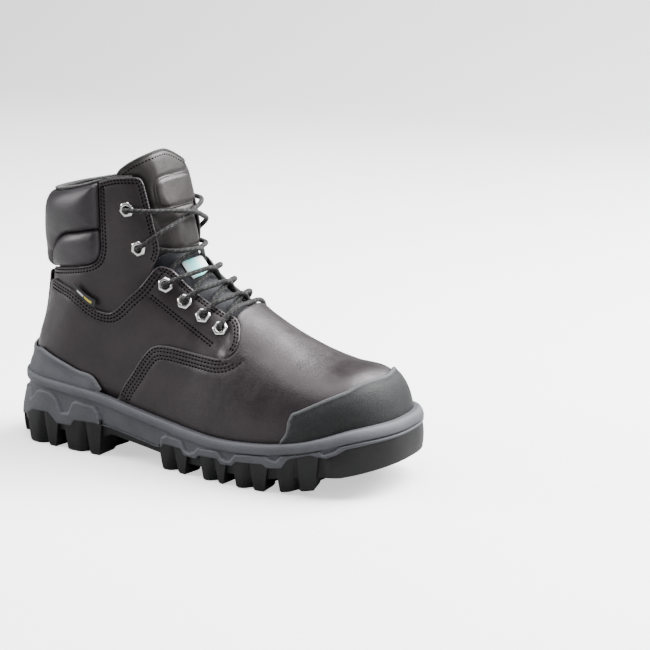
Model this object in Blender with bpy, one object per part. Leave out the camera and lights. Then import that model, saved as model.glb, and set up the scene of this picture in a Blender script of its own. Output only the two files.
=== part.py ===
"""A laced six-inch work boot for the right foot, with a steel toe cap.

Run it with: blender --background --python part.py

Frame: +X points to the toe, +Y to the inner (medial) side, +Z up. The origin is on the ground, in the
middle of the heel tread. All lengths below are in millimetres and are scaled to metres when a mesh is made.

The upper is a stack of shells around one base surface. A point of that surface is named by (s, phi):
s runs from the toe (0) over the instep and up the shaft (1), and phi runs round a section, 0 on the front
ridge, -1..0 on the outer (lateral) side, 0..1 on the inner side, and +-1 under the foot or down the back.
"""

import math

import bmesh
import bpy
import numpy as np
from mathutils import Matrix, Vector
from mathutils.geometry import delaunay_2d_cdt

MM = 0.001

# ---------------------------------------------------------------- driving dimensions
TOE_TIP_X = 251.0            # front of the base surface
TOE_ROUND_X = 200.0          # where the toe starts to round in plan
TOE_DROP_X = 226.0           # where the toe starts to drop in profile
TOE_POLE_Z = 25.0            # the base surface closes to a point here, inside the sole
TOE_PLAN_POWER = 2.4
TOE_SHARE = 0.2              # share of s that the rounded toe takes
RIM_DEPTH = 8.0              # depth of the cup that the upper stands in
RIM_STAND = 1.5              # how far the toe guard and the heel clip stand above the rim
CUP_GAP = 1.0                # gap between the leather and the cup
OUTSOLE_TOP_GAP = 0.4
HEEL_TREAD = 13.0            # depth of the heel lugs
FORE_TREAD = 8.0             # depth of the forefoot lugs
SPRING_START_X = 180.0       # the sole leaves the ground here
SPRING_END_X = 262.0
TOE_SPRING = 19.0
LACE_RADIUS = 1.7
EYELET_BORE = 2.7
EYELET_HEX = 5.6             # corner radius of the hexagonal head
LATTICE = 11.0               # spacing of a shell's inner points

# Shell levels, as (inner, outer) distance from the base surface. Neighbouring levels keep a gap.
LINING = (-4.2, -2.8)
LEVEL_1 = (-1.7, 0.0)        # shaft panels, collar pads
COUNTER = (-1.7, -0.3)       # heel counter
LEVEL_2 = (0.7, 2.2)         # quarters
LEVEL_3 = (3.2, 4.8)         # vamp, heel clip, backstay
LEVEL_4 = (5.7, 7.9)         # toe guard
STEEL_CAP = (-1.4, 0.6)      # steel toe cap, between the lining and the vamp

# Stations of the base surface behind the toe: the front ridge point, the back or bottom point, the outer
# and inner half widths, the share of the height where it is widest, and the squareness above and below.
STATIONS = (
    # ridge x, z     back x, z     outer inner  widest above below
    (200.0, 79.0, 198.0, 20.5, 44.5, 41.5, 0.30, 2.6, 4.5),
    (188.0, 84.0, 184.0, 18.0, 46.5, 41.0, 0.27, 2.4, 4.5),
    (168.0, 94.0, 160.0, 17.0, 47.0, 38.0, 0.25, 2.2, 4.5),
    (148.0, 104.5, 128.0, 18.0, 43.5, 34.5, 0.24, 2.4, 4.2),
    (131.0, 114.0, 90.0, 22.0, 37.5, 31.5, 0.25, 3.0, 3.8),
    (117.0, 122.0, 45.0, 28.0, 34.5, 31.0, 0.27, 3.4, 3.4),
    (106.5, 129.5, 0.0, 31.5, 33.5, 31.0, 0.31, 3.6, 2.9),
    (99.0, 137.0, -28.0, 40.0, 33.5, 32.0, 0.37, 3.8, 2.4),
    (94.5, 144.0, -32.0, 62.0, 33.5, 32.5, 0.42, 3.4, 2.2),
    (92.5, 152.0, -23.0, 92.0, 33.5, 33.0, 0.46, 3.8, 2.1),
    (90.0, 164.0, -17.5, 124.0, 34.0, 34.0, 0.49, 4.2, 2.1),
    (86.0, 177.0, -16.0, 148.0, 34.5, 34.5, 0.50, 4.2, 2.1),
    (82.0, 190.0, -14.5, 168.0, 35.0, 35.0, 0.50, 4.2, 2.1),
    (78.0, 203.0, -13.0, 184.0, 35.0, 35.0, 0.50, 4.2, 2.1),
    (73.5, 217.0, -12.0, 198.0, 35.0, 35.0, 0.50, 4.2, 2.1),
)
# Height of the toe's top and bottom before it rounds off, at the x of the first column
TOE_TOP = ((200.0, 79.0), (212.0, 76.0), (226.0, 75.0), (251.0, 74.0))
TOE_BOTTOM = ((200.0, 20.5), (226.0, 24.0), (251.0, 25.0))
# How far the middle of the toe leans to the inner side
TOE_LEAN = ((200.0, 0.0), (226.0, 2.0), (251.0, 5.0))
# Height of the sole rim along the boot
FEATHER = ((-50, 51.5), (-20, 50.0), (10, 48.5), (41, 45.6), (68, 40.2), (92, 36.1), (118, 32.8),
           (143, 31.0), (168, 31.8), (192, 34.0), (209, 37.2), (225, 41.9), (239, 46.5), (250, 48.5),
           (270, 49.0))
# Height of the joint between the midsole and the outsole
SOLE_JOINT = ((-50, 22.0), (0, 22.0), (45, 20.5), (70, 17.0), (95, 14.5), (150, 14.2), (185, 15.2),
              (205, 18.2), (232, 22.5), (262, 24.8))

# Outlines in the side view, as (x, z) pairs on the base surface
QUARTER_TOP = ((-5.7, 119.5), (3.6, 118.1), (16.8, 114.7), (25.0, 110.2), (33.1, 105.1), (41.0, 102.7),
               (47.4, 102.7), (52.9, 105.9), (60.7, 113.4), (71.8, 123.6), (80.8, 136.4))
FACING_FRONT = ((80.8, 136.4), (84.1, 138.0), (87.8, 137.0), (91.7, 135.4), (95.1, 132.7), (100.2, 127.7),
                (107.7, 122.1), (117.5, 116.3), (126.8, 111.4), (134.3, 107.5), (140.4, 104.0))
WING_EDGE = ((140.4, 104.0), (144.7, 99.8), (147.5, 95.0), (149.3, 90.5), (149.3, 85.6), (145.7, 82.6),
             (141.1, 81.5), (129.1, 82.2), (116.5, 83.5), (95.5, 85.2), (88.9, 84.8), (83.1, 82.4),
             (79.8, 79.3), (67.2, 62.2), (59.4, 51.2), (55.7, 43.9))
FLAP_FRONT = ((67.4, 198.9), (72.1, 198.1), (73.6, 195.7), (75.8, 189.0), (78.6, 178.2), (81.5, 166.7),
              (83.8, 156.4), (84.4, 149.3), (83.2, 143.7), (80.3, 138.0))
COLLAR_SPLIT = ((39.2, 160.6), (32.5, 159.6), (23.9, 157.6), (7.3, 153.5), (0.7, 149.5), (-5.1, 143.2),
                (-9.5, 136.5))
COLLAR_FOOT = ((-9.5, 127.0), (12.1, 130.8), (25.0, 133.3), (34.2, 136.4), (38.6, 140.4), (40.6, 146.3))
COLLAR_FRONT_X = 41.0
GUARD_EDGE = ((192.2, 36.2), (196.0, 41.8), (197.8, 50.3), (200.2, 54.0), (203.4, 55.3), (216.0, 60.7),
              (229.2, 66.3))
GUARD_RIDGE = 0.099          # s of the toe guard's edge on the ridge
CLIP_EDGE = ((41.0, 47.8), (38.5, 50.2), (36.5, 53.2), (34.4, 55.1), (19.7, 59.0), (7.8, 63.2), (-12.8, 69.4))
CLIP_BACK = 0.676            # s of the heel clip's edge at the back
UPPER_EYELETS = ((63.1, 176.5), (70.9, 149.8))
LOWER_EYELETS = ((89.7, 125.6), (104.6, 115.2), (119.7, 107.1), (133.6, 99.9))


# ---------------------------------------------------------------- curves and the base surface
def spline(keys, x):
    """Smooth curve through (position, value) pairs, as a Hermite cubic with Catmull-Rom slopes."""
    k = np.asarray(keys, float)
    px, py = k[:, 0], k[:, 1:]
    x = np.clip(np.atleast_1d(np.asarray(x, float)), px[0], px[-1])
    slope = np.gradient(py, px, axis=0)
    i = np.clip(np.searchsorted(px, x) - 1, 0, len(px) - 2)
    width = px[i + 1] - px[i]
    t = ((x - px[i]) / width)[:, None]
    leave, arrive = slope[i] * width[:, None], slope[i + 1] * width[:, None]
    ease = 3 * t**2 - 2 * t**3
    out = (1 - ease) * py[i] + ease * py[i + 1] + (t**3 - 2 * t**2 + t) * leave + (t**3 - t**2) * arrive
    return out[:, 0] if out.shape[1] == 1 else out


def rounded(share, power):
    """Half width of a superellipse at this share of its half length."""
    return np.clip(1 - np.clip(share, 0, 1) ** power, 0, 1) ** (1 / power)


def section_table(s):
    """Columns like STATIONS plus the sideways lean, for each s."""
    behind = np.clip((s - TOE_SHARE) / (1 - TOE_SHARE), 0, 1)
    rows = spline([(i / (len(STATIONS) - 1), *row) for i, row in enumerate(STATIONS)], behind)
    lean = np.zeros(len(s))
    angle = np.clip(s / TOE_SHARE, 0, 1) * math.pi / 2
    x = TOE_ROUND_X + (TOE_TIP_X - TOE_ROUND_X) * np.cos(angle) ** (2 / TOE_PLAN_POWER)
    in_plan = np.sin(angle) ** (2 / TOE_PLAN_POWER)
    drop = rounded((x - TOE_DROP_X) / (TOE_TIP_X - TOE_DROP_X), TOE_PLAN_POWER)
    toe = s < TOE_SHARE
    top = TOE_POLE_Z + (spline(TOE_TOP, x) - TOE_POLE_Z) * drop
    bottom = TOE_POLE_Z - (TOE_POLE_Z - spline(TOE_BOTTOM, x)) * drop
    for column, values in ((0, x), (1, top), (2, x - 2 * in_plan), (3, bottom)):
        rows[toe, column] = values[toe]
    rows[toe, 4] *= in_plan[toe]
    rows[toe, 5] *= in_plan[toe]
    lean[toe] = spline(TOE_LEAN, x)[toe]
    return rows, lean


def build_base(n_s=241, n_phi=241, n_theta=361):
    """Points and normals of the base surface on an even grid of s and phi. Arc length spaces phi."""
    s = np.linspace(0, 1, n_s)
    rows, lean = section_table(s)
    tx, tz, bx, bz, outer, inner, widest, above, below = [rows[:, i][:, None] for i in range(9)]
    theta = np.linspace(0, math.pi, n_theta)[None, :]
    c, sn = np.cos(theta), np.sin(theta)
    up = theta <= math.pi / 2
    power = np.where(up, 2 / above, 2 / below)
    rise = np.where(up, widest + (1 - widest) * np.abs(c) ** power, widest - widest * np.abs(c) ** power)
    reach = sn ** power
    half = (n_phi - 1) // 2
    grid = np.zeros((n_s, n_phi, 3))
    for side, width in ((-1, outer), (1, inner)):
        p = np.stack([bx + rise * (tx - bx), lean[:, None] + side * width * reach, bz + rise * (tz - bz)], -1)
        steps = np.linalg.norm(np.diff(p, axis=1), axis=2)
        length = np.concatenate([np.zeros((n_s, 1)), np.cumsum(steps, 1)], 1)
        for i in range(n_s):
            want = np.linspace(0, length[i, -1], half + 1)
            even = np.stack([np.interp(want, length[i], p[i, :, k]) for k in range(3)], -1)
            if side < 0:
                grid[i, : half + 1] = even[::-1]
            else:
                grid[i, half:] = even
    along = np.gradient(grid, axis=0)
    wrapped = np.concatenate([grid[:, -2:-1], grid, grid[:, 1:2]], axis=1)
    around = (wrapped[:, 2:] - wrapped[:, :-2]) / 2
    normal = np.cross(around, along)
    normal[0] = (1, 0, 0)
    normal /= np.linalg.norm(normal, axis=2, keepdims=True)
    return grid, normal


BASE, NORMAL = build_base()


def sample(grid, s, phi):
    """Bilinear reading of a base grid. phi wraps with a period of 2."""
    s, phi = np.broadcast_arrays(np.asarray(s, float), np.asarray(phi, float))
    phi = (phi + 1) % 2 - 1
    fs = np.clip(s, 0, 1) * (grid.shape[0] - 1)
    fp = (phi + 1) / 2 * (grid.shape[1] - 1)
    i = np.minimum(fs.astype(int), grid.shape[0] - 2)
    j = np.minimum(fp.astype(int), grid.shape[1] - 2)
    a, b = (fs - i)[..., None], (fp - j)[..., None]
    return ((1 - a) * (1 - b) * grid[i, j] + a * (1 - b) * grid[i + 1, j]
            + (1 - a) * b * grid[i, j + 1] + a * b * grid[i + 1, j + 1])


def surface(s, phi, offset=0.0):
    normal = sample(NORMAL, s, phi)
    normal = normal / np.linalg.norm(normal, axis=-1, keepdims=True)
    return sample(BASE, s, phi) + normal * np.asarray(offset, float)[..., None]


def locate(x, z, side):
    """(s, phi) of the base point with this side view position, on side -1 (outer) or 1 (inner)."""
    half = (BASE.shape[1] - 1) // 2
    columns = slice(0, half + 1) if side < 0 else slice(half, None)
    part = BASE[:, columns]
    i, j = np.unravel_index(np.argmin((part[..., 0] - x) ** 2 + (part[..., 2] - z) ** 2), part.shape[:2])
    j += 0 if side < 0 else half
    s, phi = i / (BASE.shape[0] - 1), j / (BASE.shape[1] - 1) * 2 - 1
    step = 1e-3
    low, high = (-1.0, -0.01) if side < 0 else (0.01, 1.0)
    for _ in range(12):
        here = sample(BASE, s, phi)[[0, 2]]
        ds = (sample(BASE, s + step, phi)[[0, 2]] - here) / step
        dp = (sample(BASE, s, phi + side * -step)[[0, 2]] - here) / (side * -step)
        jac = np.stack([ds, dp], 1)
        if abs(np.linalg.det(jac)) < 1e-3:
            break
        move = np.clip(np.linalg.solve(jac, np.array([x, z]) - here), -0.02, 0.02)
        s, phi = float(np.clip(s + move[0], 0, 1)), float(np.clip(phi + move[1], low, high))
    return s, phi


def trace(points, side, n=None):
    """A side view outline as (s, phi) pairs. With n, it is first smoothed to n points."""
    points = np.asarray(points, float)
    if n:
        length = np.concatenate([[0], np.cumsum(np.linalg.norm(np.diff(points, axis=0), axis=1))])
        points = spline(np.c_[length, points], np.linspace(0, length[-1], n))
    return [locate(x, z, side) for x, z in points]


def height_of(keys, rise=0.0):
    """A height curve along the boot, from (x, z) pairs, raised by rise."""
    return lambda x: spline(keys, x) + rise


def crossing_phi(s, side, height):
    """phi where the section at s comes down through this height curve."""
    phi = np.linspace(0, 1, 241) * side
    p = surface(np.full(241, s), phi)
    gap = p[:, 2] - height(p[:, 0])
    below = np.nonzero(gap < 0)[0]
    if len(below) == 0:
        return float(side)
    k = below[0]
    if k == 0:
        return 0.0
    t = gap[k - 1] / (gap[k - 1] - gap[k])
    return float(phi[k - 1] + t * (phi[k] - phi[k - 1]))


def crossing_limits(height):
    """The values of s at the toe and at the heel where the surface's middle line meets the height curve."""
    limits = []
    for phi, span in ((0.0, (0.0, TOE_SHARE)), (1.0, (0.45, 0.8))):
        s = np.linspace(*span, 1600)
        p = surface(s, np.full(1600, phi))
        limits.append(float(s[np.argmin(np.abs(p[:, 2] - height(p[:, 0])))]))
    return limits


def level_line(side, height, n, s_from=0.0, s_to=1.0):
    """(s, phi) pairs where the surface meets a height curve, from the toe to the heel on one side."""
    low, high = crossing_limits(height)
    ease = lambda s: math.acos(max(-1.0, min(1.0, 1 - 2 * (s - low) / (high - low))))
    line = []
    for a in np.linspace(ease(max(s_from, low)), ease(min(s_to, high)), n):
        s = low + (high - low) * (1 - math.cos(a)) / 2
        if s <= low + 1e-5:
            line.append((s, 0.0))
        elif s >= high - 1e-5:
            line.append((s, float(side)))
        else:
            line.append((s, crossing_phi(s, side, height)))
    return line


def level_ring(height, offset, half):
    """A closed loop of points round the boot at a height curve: toe, outer side, heel, inner side."""
    line = level_line(-1, height, half + 1) + level_line(1, height, half + 1)[-2:0:-1]
    s, phi = np.array(line).T
    return surface(s, phi, np.full(len(s), float(offset)))


# ---------------------------------------------------------------- meshes and objects
def clear_scene():
    for obj in list(bpy.data.objects):
        bpy.data.objects.remove(obj, do_unlink=True)


def material(name, colour, roughness, metallic=0.0):
    made = bpy.data.materials.new(name)
    made.use_nodes = True
    shader = made.node_tree.nodes["Principled BSDF"]
    shader.inputs["Base Color"].default_value = (*colour, 1.0)
    shader.inputs["Roughness"].default_value = roughness
    shader.inputs["Metallic"].default_value = metallic
    return made


def add_object(name, points, faces, finish, smooth_angle=40.0):
    """One object from points in millimetres, with its own material. Its faces are turned to point outwards."""
    mesh = bpy.data.meshes.new(name)
    mesh.from_pydata([tuple(float(c) * MM for c in p) for p in points], [], [tuple(f) for f in faces])
    bm = bmesh.new()
    bm.from_mesh(mesh)
    bmesh.ops.recalc_face_normals(bm, faces=bm.faces)
    bm.to_mesh(mesh)
    bm.free()
    mesh.shade_smooth()
    mesh.set_sharp_from_angle(angle=math.radians(smooth_angle))
    mesh.materials.append(material(name, *finish))
    obj = bpy.data.objects.new(name, mesh)
    bpy.context.scene.collection.objects.link(obj)
    return obj


def set_origin(obj, pivot):
    """Moves the object's origin to a joint's pivot, given in millimetres, and leaves the shape in place."""
    offset = Vector(pivot) * MM
    obj.data.transform(Matrix.Translation(-offset))
    obj.location = offset


def inside(point, loop):
    x, y = point
    hit = False
    for (x1, y1), (x2, y2) in zip(loop, loop[1:] + loop[:1]):
        if (y1 > y) != (y2 > y) and x < (x2 - x1) * (y - y1) / (y2 - y1) + x1:
            hit = not hit
    return hit


# (s, phi) are stretched to a flat pattern before they are cut into triangles, so that the triangles are
# smaller where the surface bends more: round the section, and at the toe.
S_SCALE, PHI_SCALE, TOE_STRETCH, TOE_REACH = 360.0, 205.0, 40.0, 0.05
WARP_S = np.linspace(-0.1, 1.1, 2401)
WARP = S_SCALE * WARP_S + TOE_STRETCH * (1 - np.exp(-np.maximum(WARP_S, 0) / TOE_REACH))


def flat(line):
    s, phi = np.array(line, float).T
    return np.stack([np.interp(s, WARP_S, WARP), phi * PHI_SCALE], 1)


def subdivided(loop, longest):
    """The loop with its long edges cut into equal lengths."""
    fine = []
    for a, b in zip(loop, np.roll(loop, -1, axis=0)):
        n = max(1, math.ceil(np.linalg.norm(b - a) / longest))
        fine += [tuple(a + (b - a) * k / n) for k in range(n)]
    return fine


def triangulate(outline, holes, spacing):
    """Triangles over an outline in (s, phi), with lattice points inside. Returns the points and triangles."""
    loops = [subdivided(flat(loop), spacing) for loop in (outline, *holes)]
    border = [p for loop in loops for p in loop]
    low, high = np.min(border, axis=0), np.max(border, axis=0)
    in_patch = lambda p: inside(p, loops[0]) and not any(inside(p, h) for h in loops[1:])
    lattice = []
    for i in range(math.ceil(low[0] / spacing), math.floor(high[0] / spacing) + 1):
        for j in range(math.ceil(low[1] / spacing), math.floor(high[1] / spacing) + 1):
            p = (i * spacing, j * spacing)
            near = min((p[0] - q[0]) ** 2 + (p[1] - q[1]) ** 2 for q in border)
            if near > (0.55 * spacing) ** 2 and in_patch(p):
                lattice.append(p)
    edges, start = [], 0
    for loop in loops:
        n = len(loop)
        edges += [(start + k, start + (k + 1) % n) for k in range(n)]
        start += n
    verts, _, faces, *_ = delaunay_2d_cdt([Vector(p) for p in border + lattice], edges, [], 0, 1e-6)
    verts = [(v[0], v[1]) for v in verts]
    kept = []
    for face in faces:
        middle = (sum(verts[k][0] for k in face) / 3, sum(verts[k][1] for k in face) / 3)
        if in_patch(middle):
            kept.append(face)
    return [(float(np.interp(x, WARP, WARP_S)), y / PHI_SCALE) for x, y in verts], kept


def shell(name, outline, level, finish, holes=(), spacing=LATTICE, bulge=None, dip=None):
    """A patch of the upper between two distances from the base surface.

    bulge(s, phi) is added to the outer distance and dip(s, phi) to the inner one.
    """
    points, triangles = triangulate(outline, holes, spacing)
    s, phi = np.array(points).T
    inner = surface(s, phi, level[0] + (dip(s, phi) if dip else np.zeros(len(s))))
    outer = surface(s, phi, level[1] + (bulge(s, phi) if bulge else np.zeros(len(s))))
    n = len(s)
    faces = [tuple(f) for f in triangles] + [tuple(k + n for k in reversed(f)) for f in triangles]
    count = {}
    for f in triangles:
        for a, b in zip(f, list(f[1:]) + [f[0]]):
            count[(a, b)] = True
    for a, b in count:
        if (b, a) not in count:
            faces.append((b, a, a + n, b + n))
    return add_object(name, np.concatenate([outer, inner]), faces, finish)


def near_outline(outline, reach):
    """A bulge profile: 0 on the outline, 1 at reach or more inside it, measured on the flat pattern."""
    a = flat(outline)
    b = np.roll(a, -1, axis=0)

    def share(s, phi):
        q = flat(np.stack([s, phi], 1))[:, None, :]
        ab = (b - a)[None]
        t = np.clip(((q - a[None]) * ab).sum(-1) / np.maximum((ab**2).sum(-1), 1e-9), 0, 1)[..., None]
        d = np.linalg.norm(q - (a[None] + t * ab), axis=-1).min(1)
        t = np.clip(d / reach, 0, 1)
        return np.sqrt(t * (2 - t))

    return share


def circle_hole(s, phi, radius, sides=6, turn=0.0):
    """A round or hexagonal hole in (s, phi) that has this radius on the surface."""
    step = 1e-3
    here = surface(s, phi)
    ds = (surface(s + step, phi) - here) / step
    dp = (surface(s, phi + step) - here) / step
    e1 = ds / np.linalg.norm(ds)
    e2 = np.cross(sample(NORMAL, s, phi), e1)
    e2 /= np.linalg.norm(e2)
    basis = np.stack([ds, dp], 1)
    loop = []
    for k in range(sides):
        a = turn + 2 * math.pi * k / sides
        want = radius * (math.cos(a) * e1 + math.sin(a) * e2)
        move = np.linalg.lstsq(basis, want, rcond=None)[0]
        loop.append((s + move[0], phi + move[1]))
    return loop


def rings_solid(name, rings, finish, smooth_angle=40.0):
    """A closed body from equal closed rings. The first and last rings are capped by rungs across the boot."""
    n = len(rings[0])
    points = np.concatenate(rings)
    faces = []
    for r in range(len(rings) - 1):
        for k in range(n):
            a, b = r * n + k, r * n + (k + 1) % n
            faces.append((a, b, b + n, a + n))
    for start in (0, (len(rings) - 1) * n):
        for k in range(n // 2):
            a, b, c, d = k, k + 1, (n - k - 1) % n, (n - k) % n
            corner = list(dict.fromkeys([start + a, start + b, start + c, start + d]))
            if len(corner) > 2:
                faces.append(tuple(corner))
    return add_object(name, points, faces, finish, smooth_angle)


def tube(name, path, radius, finish, sides=6):
    """A round bar along a path of points, with flat ends."""
    path = np.asarray(path, float)
    tangent = np.gradient(path, axis=0)
    tangent /= np.linalg.norm(tangent, axis=1, keepdims=True)
    up = np.array([0.0, 0.0, 1.0]) if abs(tangent[0][2]) < 0.9 else np.array([1.0, 0.0, 0.0])
    rings = []
    for p, t in zip(path, tangent):
        up = up - t * (up @ t)
        up /= np.linalg.norm(up)
        side = np.cross(t, up)
        rings.append([p + radius * (math.cos(a) * up + math.sin(a) * side)
                      for a in (2 * math.pi * k / sides for k in range(sides))])
    n = sides
    faces = [(r * n + k, r * n + (k + 1) % n, (r + 1) * n + (k + 1) % n, (r + 1) * n + k)
             for r in range(len(rings) - 1) for k in range(n)]
    faces += [tuple(range(n)), tuple((len(rings) - 1) * n + k for k in reversed(range(n)))]
    return add_object(name, np.concatenate(rings), faces, finish)



# ---------------------------------------------------------------- the sole
HALF = 28                    # points along one side of a sole ring
FLOOR = ((-50, 36.0), (-20, 34.0), (0, 33.0), (45, 29.5), (90, 23.5), (128, 19.5), (160, 18.5), (184, 19.5),
         (200, 21.8), (226, 26.2), (262, 28.5))


def set_height(ring, height, side_gap=0.0):
    """A copy of a ring moved outwards in plan by side_gap, a length or a function of x, and put at a height."""
    ring = np.asarray(ring, float)
    ahead, behind = np.roll(ring, -1, axis=0), np.roll(ring, 1, axis=0)
    along = ahead - behind
    out = np.stack([-along[:, 1], along[:, 0]], 1)
    out /= np.linalg.norm(out, axis=1, keepdims=True)
    moved = ring.copy()
    gap = side_gap(ring[:, 0])[:, None] if callable(side_gap) else side_gap
    moved[:, :2] += out * gap
    moved[:, 2] = height(moved[:, 0])
    return moved


def tread_height(x):
    """Height of the smooth underside between the lugs."""
    keys = ((-50, HEEL_TREAD), (41, HEEL_TREAD), (49, 16.5), (92, 10.5), (97, FORE_TREAD),
            (SPRING_START_X, FORE_TREAD), (222, FORE_TREAD + 6.5), (232, 12.5), (270, TOE_SPRING + 1.5))
    return np.interp(x, *np.array(keys).T)


def ground_height(x):
    """Height of the lug faces: on the ground, then rising to the toe."""
    t = np.clip((x - SPRING_START_X) / (SPRING_END_X - SPRING_START_X), 0, 1)
    return TOE_SPRING * t ** 1.6


# Rows across the tread from the heel to the toe, as (end x, has lugs)
HEEL_LUG_X = -33.0           # the rearmost lug runs across the whole heel, up to here
ROWS = ((HEEL_LUG_X, True), (-24.0, False), (1.5, True), (11.5, False), (41.0, True), (97.0, False),
        (117.0, True), (133.0, False), (151.0, True), (161.0, False), (183.0, True), (193.0, False),
        (219.0, True))
# Cells across the tread, as shares of its width. Even cells carry lugs.
CELLS = (0.0, 0.30, 0.36, 0.64, 0.70, 1.0)
SOLE_OUT = 9.0               # how far the sole stands out from the base surface
TOE_OUT = 4.5                # more than that at the toe, over these x values
TOE_OUT_X = (200.0, 246.0)
HEEL_FLARE = 4.0             # and more at the foot of the heel, over these x values
HEEL_FLARE_X = (5.0, -32.0)


def smoothstep(a, b, x):
    t = np.clip((x - a) / (b - a), 0, 1)
    return t * t * (3 - 2 * t)


def sole_reach(flare, extra=0.0):
    """How far the sole stands out, as a function of x. flare is the share of the heel's flare."""
    return lambda x: (SOLE_OUT + extra + TOE_OUT * smoothstep(*TOE_OUT_X, x)
                      + flare * HEEL_FLARE * smoothstep(*HEEL_FLARE_X, x))


def rim_ring():
    return level_ring(height_of(FEATHER), 0.0, HALF)


def outsole(finish):
    outline = set_height(rim_ring(), height_of(SOLE_JOINT), sole_reach(1.0))
    outer, inner = outline[: HALF + 1], np.concatenate([outline[HALF:], outline[:1]])
    low, high = outline[:, 0].min() + 0.4, outline[:, 0].max() - 0.4
    stations = [low + (high - low) * (1 - math.cos(a)) / 2 for a in np.linspace(0, math.pi, 49)]
    edges = [end for end, _ in ROWS]
    stations = sorted([x for x in stations if min(abs(x - e) for e in edges) > 2.5] + edges)
    y_outer = np.interp(stations, outer[::-1, 0], outer[::-1, 1])
    y_inner = np.interp(stations, inner[:, 0], inner[:, 1])
    joint = height_of(SOLE_JOINT, -OUTSOLE_TOP_GAP)(stations)
    columns = len(CELLS)
    points, faces, lugs = [], [], []
    for x, a, b, z in zip(stations, y_outer, y_inner, joint):
        points += [(x, a + share * (b - a), z) for share in CELLS]
        points += [(x, a + share * (b - a), float(tread_height(x))) for share in CELLS]
    for r in range(len(stations) - 1):
        middle = (stations[r] + stations[r + 1]) / 2
        has_lugs = next((lug for end, lug in ROWS if middle < end), False)
        here, there = r * 2 * columns, (r + 1) * 2 * columns
        for c in range(columns - 1):
            faces.append((here + c, here + c + 1, there + c + 1, there + c))
            under, ahead = here + columns + c, there + columns + c
            faces.append((under, ahead, ahead + 1, under + 1))
            if has_lugs and (c % 2 == 0 or middle < HEEL_LUG_X):
                lugs.append(len(faces) - 1)
        for c in (0, columns - 1):
            faces.append((here + c, there + c, there + columns + c, here + columns + c))
    for base in (0, (len(stations) - 1) * 2 * columns):
        for c in range(base, base + columns - 1):
            faces.append((c, c + 1, c + columns + 1, c + columns))
    obj = add_object("outsole", points, faces, finish)
    bm = bmesh.new()
    bm.from_mesh(obj.data)
    bm.faces.ensure_lookup_table()
    pushed = bmesh.ops.extrude_face_region(bm, geom=[bm.faces[i] for i in lugs])["geom"]
    bmesh.ops.delete(bm, geom=[f for f in bm.faces if f.index in lugs], context="FACES_ONLY")
    for vert in (g for g in pushed if isinstance(g, bmesh.types.BMVert)):
        vert.co.z = float(ground_height(vert.co.x / MM)) * MM
    bmesh.ops.recalc_face_normals(bm, faces=bm.faces)
    bm.to_mesh(obj.data)
    bm.free()
    return obj


def midsole(finish):
    rim = rim_ring()
    joint, feather = height_of(SOLE_JOINT), height_of(FEATHER)
    half_way = lambda x: (joint(x) + feather(x)) / 2
    rings = [
        set_height(rim, joint, sole_reach(0.9, -0.2)),
        set_height(rim, half_way, sole_reach(0.4, 0.4)),
        set_height(rim, height_of(FEATHER, -6.5), sole_reach(0.0)),
        set_height(rim, height_of(FEATHER, -4.5), sole_reach(0.0, 0.9)),
        set_height(rim, height_of(FEATHER, -0.8), sole_reach(0.0, 0.9)),
        set_height(rim, feather, sole_reach(0.0)),
        set_height(rim, feather, LEVEL_3[1] + CUP_GAP),
        level_ring(height_of(FEATHER, -RIM_DEPTH), LEVEL_3[1] + CUP_GAP, HALF),
        level_ring(height_of(FEATHER, -RIM_DEPTH - 0.3), -0.5, HALF),
        set_height(level_ring(height_of(FLOOR, 2.2), -0.5, HALF), height_of(FLOOR, 2.2)),
        set_height(level_ring(height_of(FLOOR), -0.5, HALF), height_of(FLOOR)),
    ]
    return rings_solid("midsole", rings, finish)


def slab(name, low_rise, high_rise, inset, finish, x_from=-60.0, x_to=300.0, half=20):
    """A sheet that lies on the midsole floor, between two heights above it."""
    rings = []
    for rise in (low_rise, high_rise):
        ring = level_ring(height_of(FLOOR, rise), inset, half)
        ring[:, 0] = np.clip(ring[:, 0], x_from, x_to)
        ring[:, 2] = height_of(FLOOR, rise)(ring[:, 0])
        rings.append(ring)
    return rings_solid(name, rings, finish)


SHANK_FROM_X, SHANK_TO_X = 12.0, 112.0
SHANK_HALF_WIDTH = 7.5
SHANK_LEVELS = (-2.2, -0.6)  # under the midsole floor, in a slot of its own
SLOT_GAP = 0.4


def strip(name, x_from, x_to, half_width, low, high, finish):
    """A flat bar along the boot that follows the midsole floor, between two heights above it."""
    stations = np.linspace(x_from, x_to, 9)
    points, faces = [], []
    for x in stations:
        floor = float(spline(FLOOR, x)[0])
        points += [(x, -half_width, floor + low), (x, half_width, floor + low),
                   (x, half_width, floor + high), (x, -half_width, floor + high)]
    for r in range(len(stations) - 1):
        for k in range(4):
            faces.append((4 * r + k, 4 * r + (k + 1) % 4, 4 * r + (k + 1) % 4 + 4, 4 * r + k + 4))
    last = len(points) - 4
    faces += [(0, 1, 2, 3), (last + 3, last + 2, last + 1, last)]
    return add_object(name, points, faces, finish)


def steel_shank(finish, sole):
    """The arch stiffener, and the slot for it in the midsole floor."""
    slot = strip("shank_slot", SHANK_FROM_X - SLOT_GAP, SHANK_TO_X + SLOT_GAP, SHANK_HALF_WIDTH + SLOT_GAP,
                 SHANK_LEVELS[0] - SLOT_GAP, 2.0, finish)
    slot.hide_render = True
    slot.display_type = "WIRE"
    cut = sole.modifiers.new("shank_slot", "BOOLEAN")
    cut.operation = "DIFFERENCE"
    cut.object = slot
    return strip("steel_shank", SHANK_FROM_X, SHANK_TO_X, SHANK_HALF_WIDTH, *SHANK_LEVELS, finish)


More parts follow.
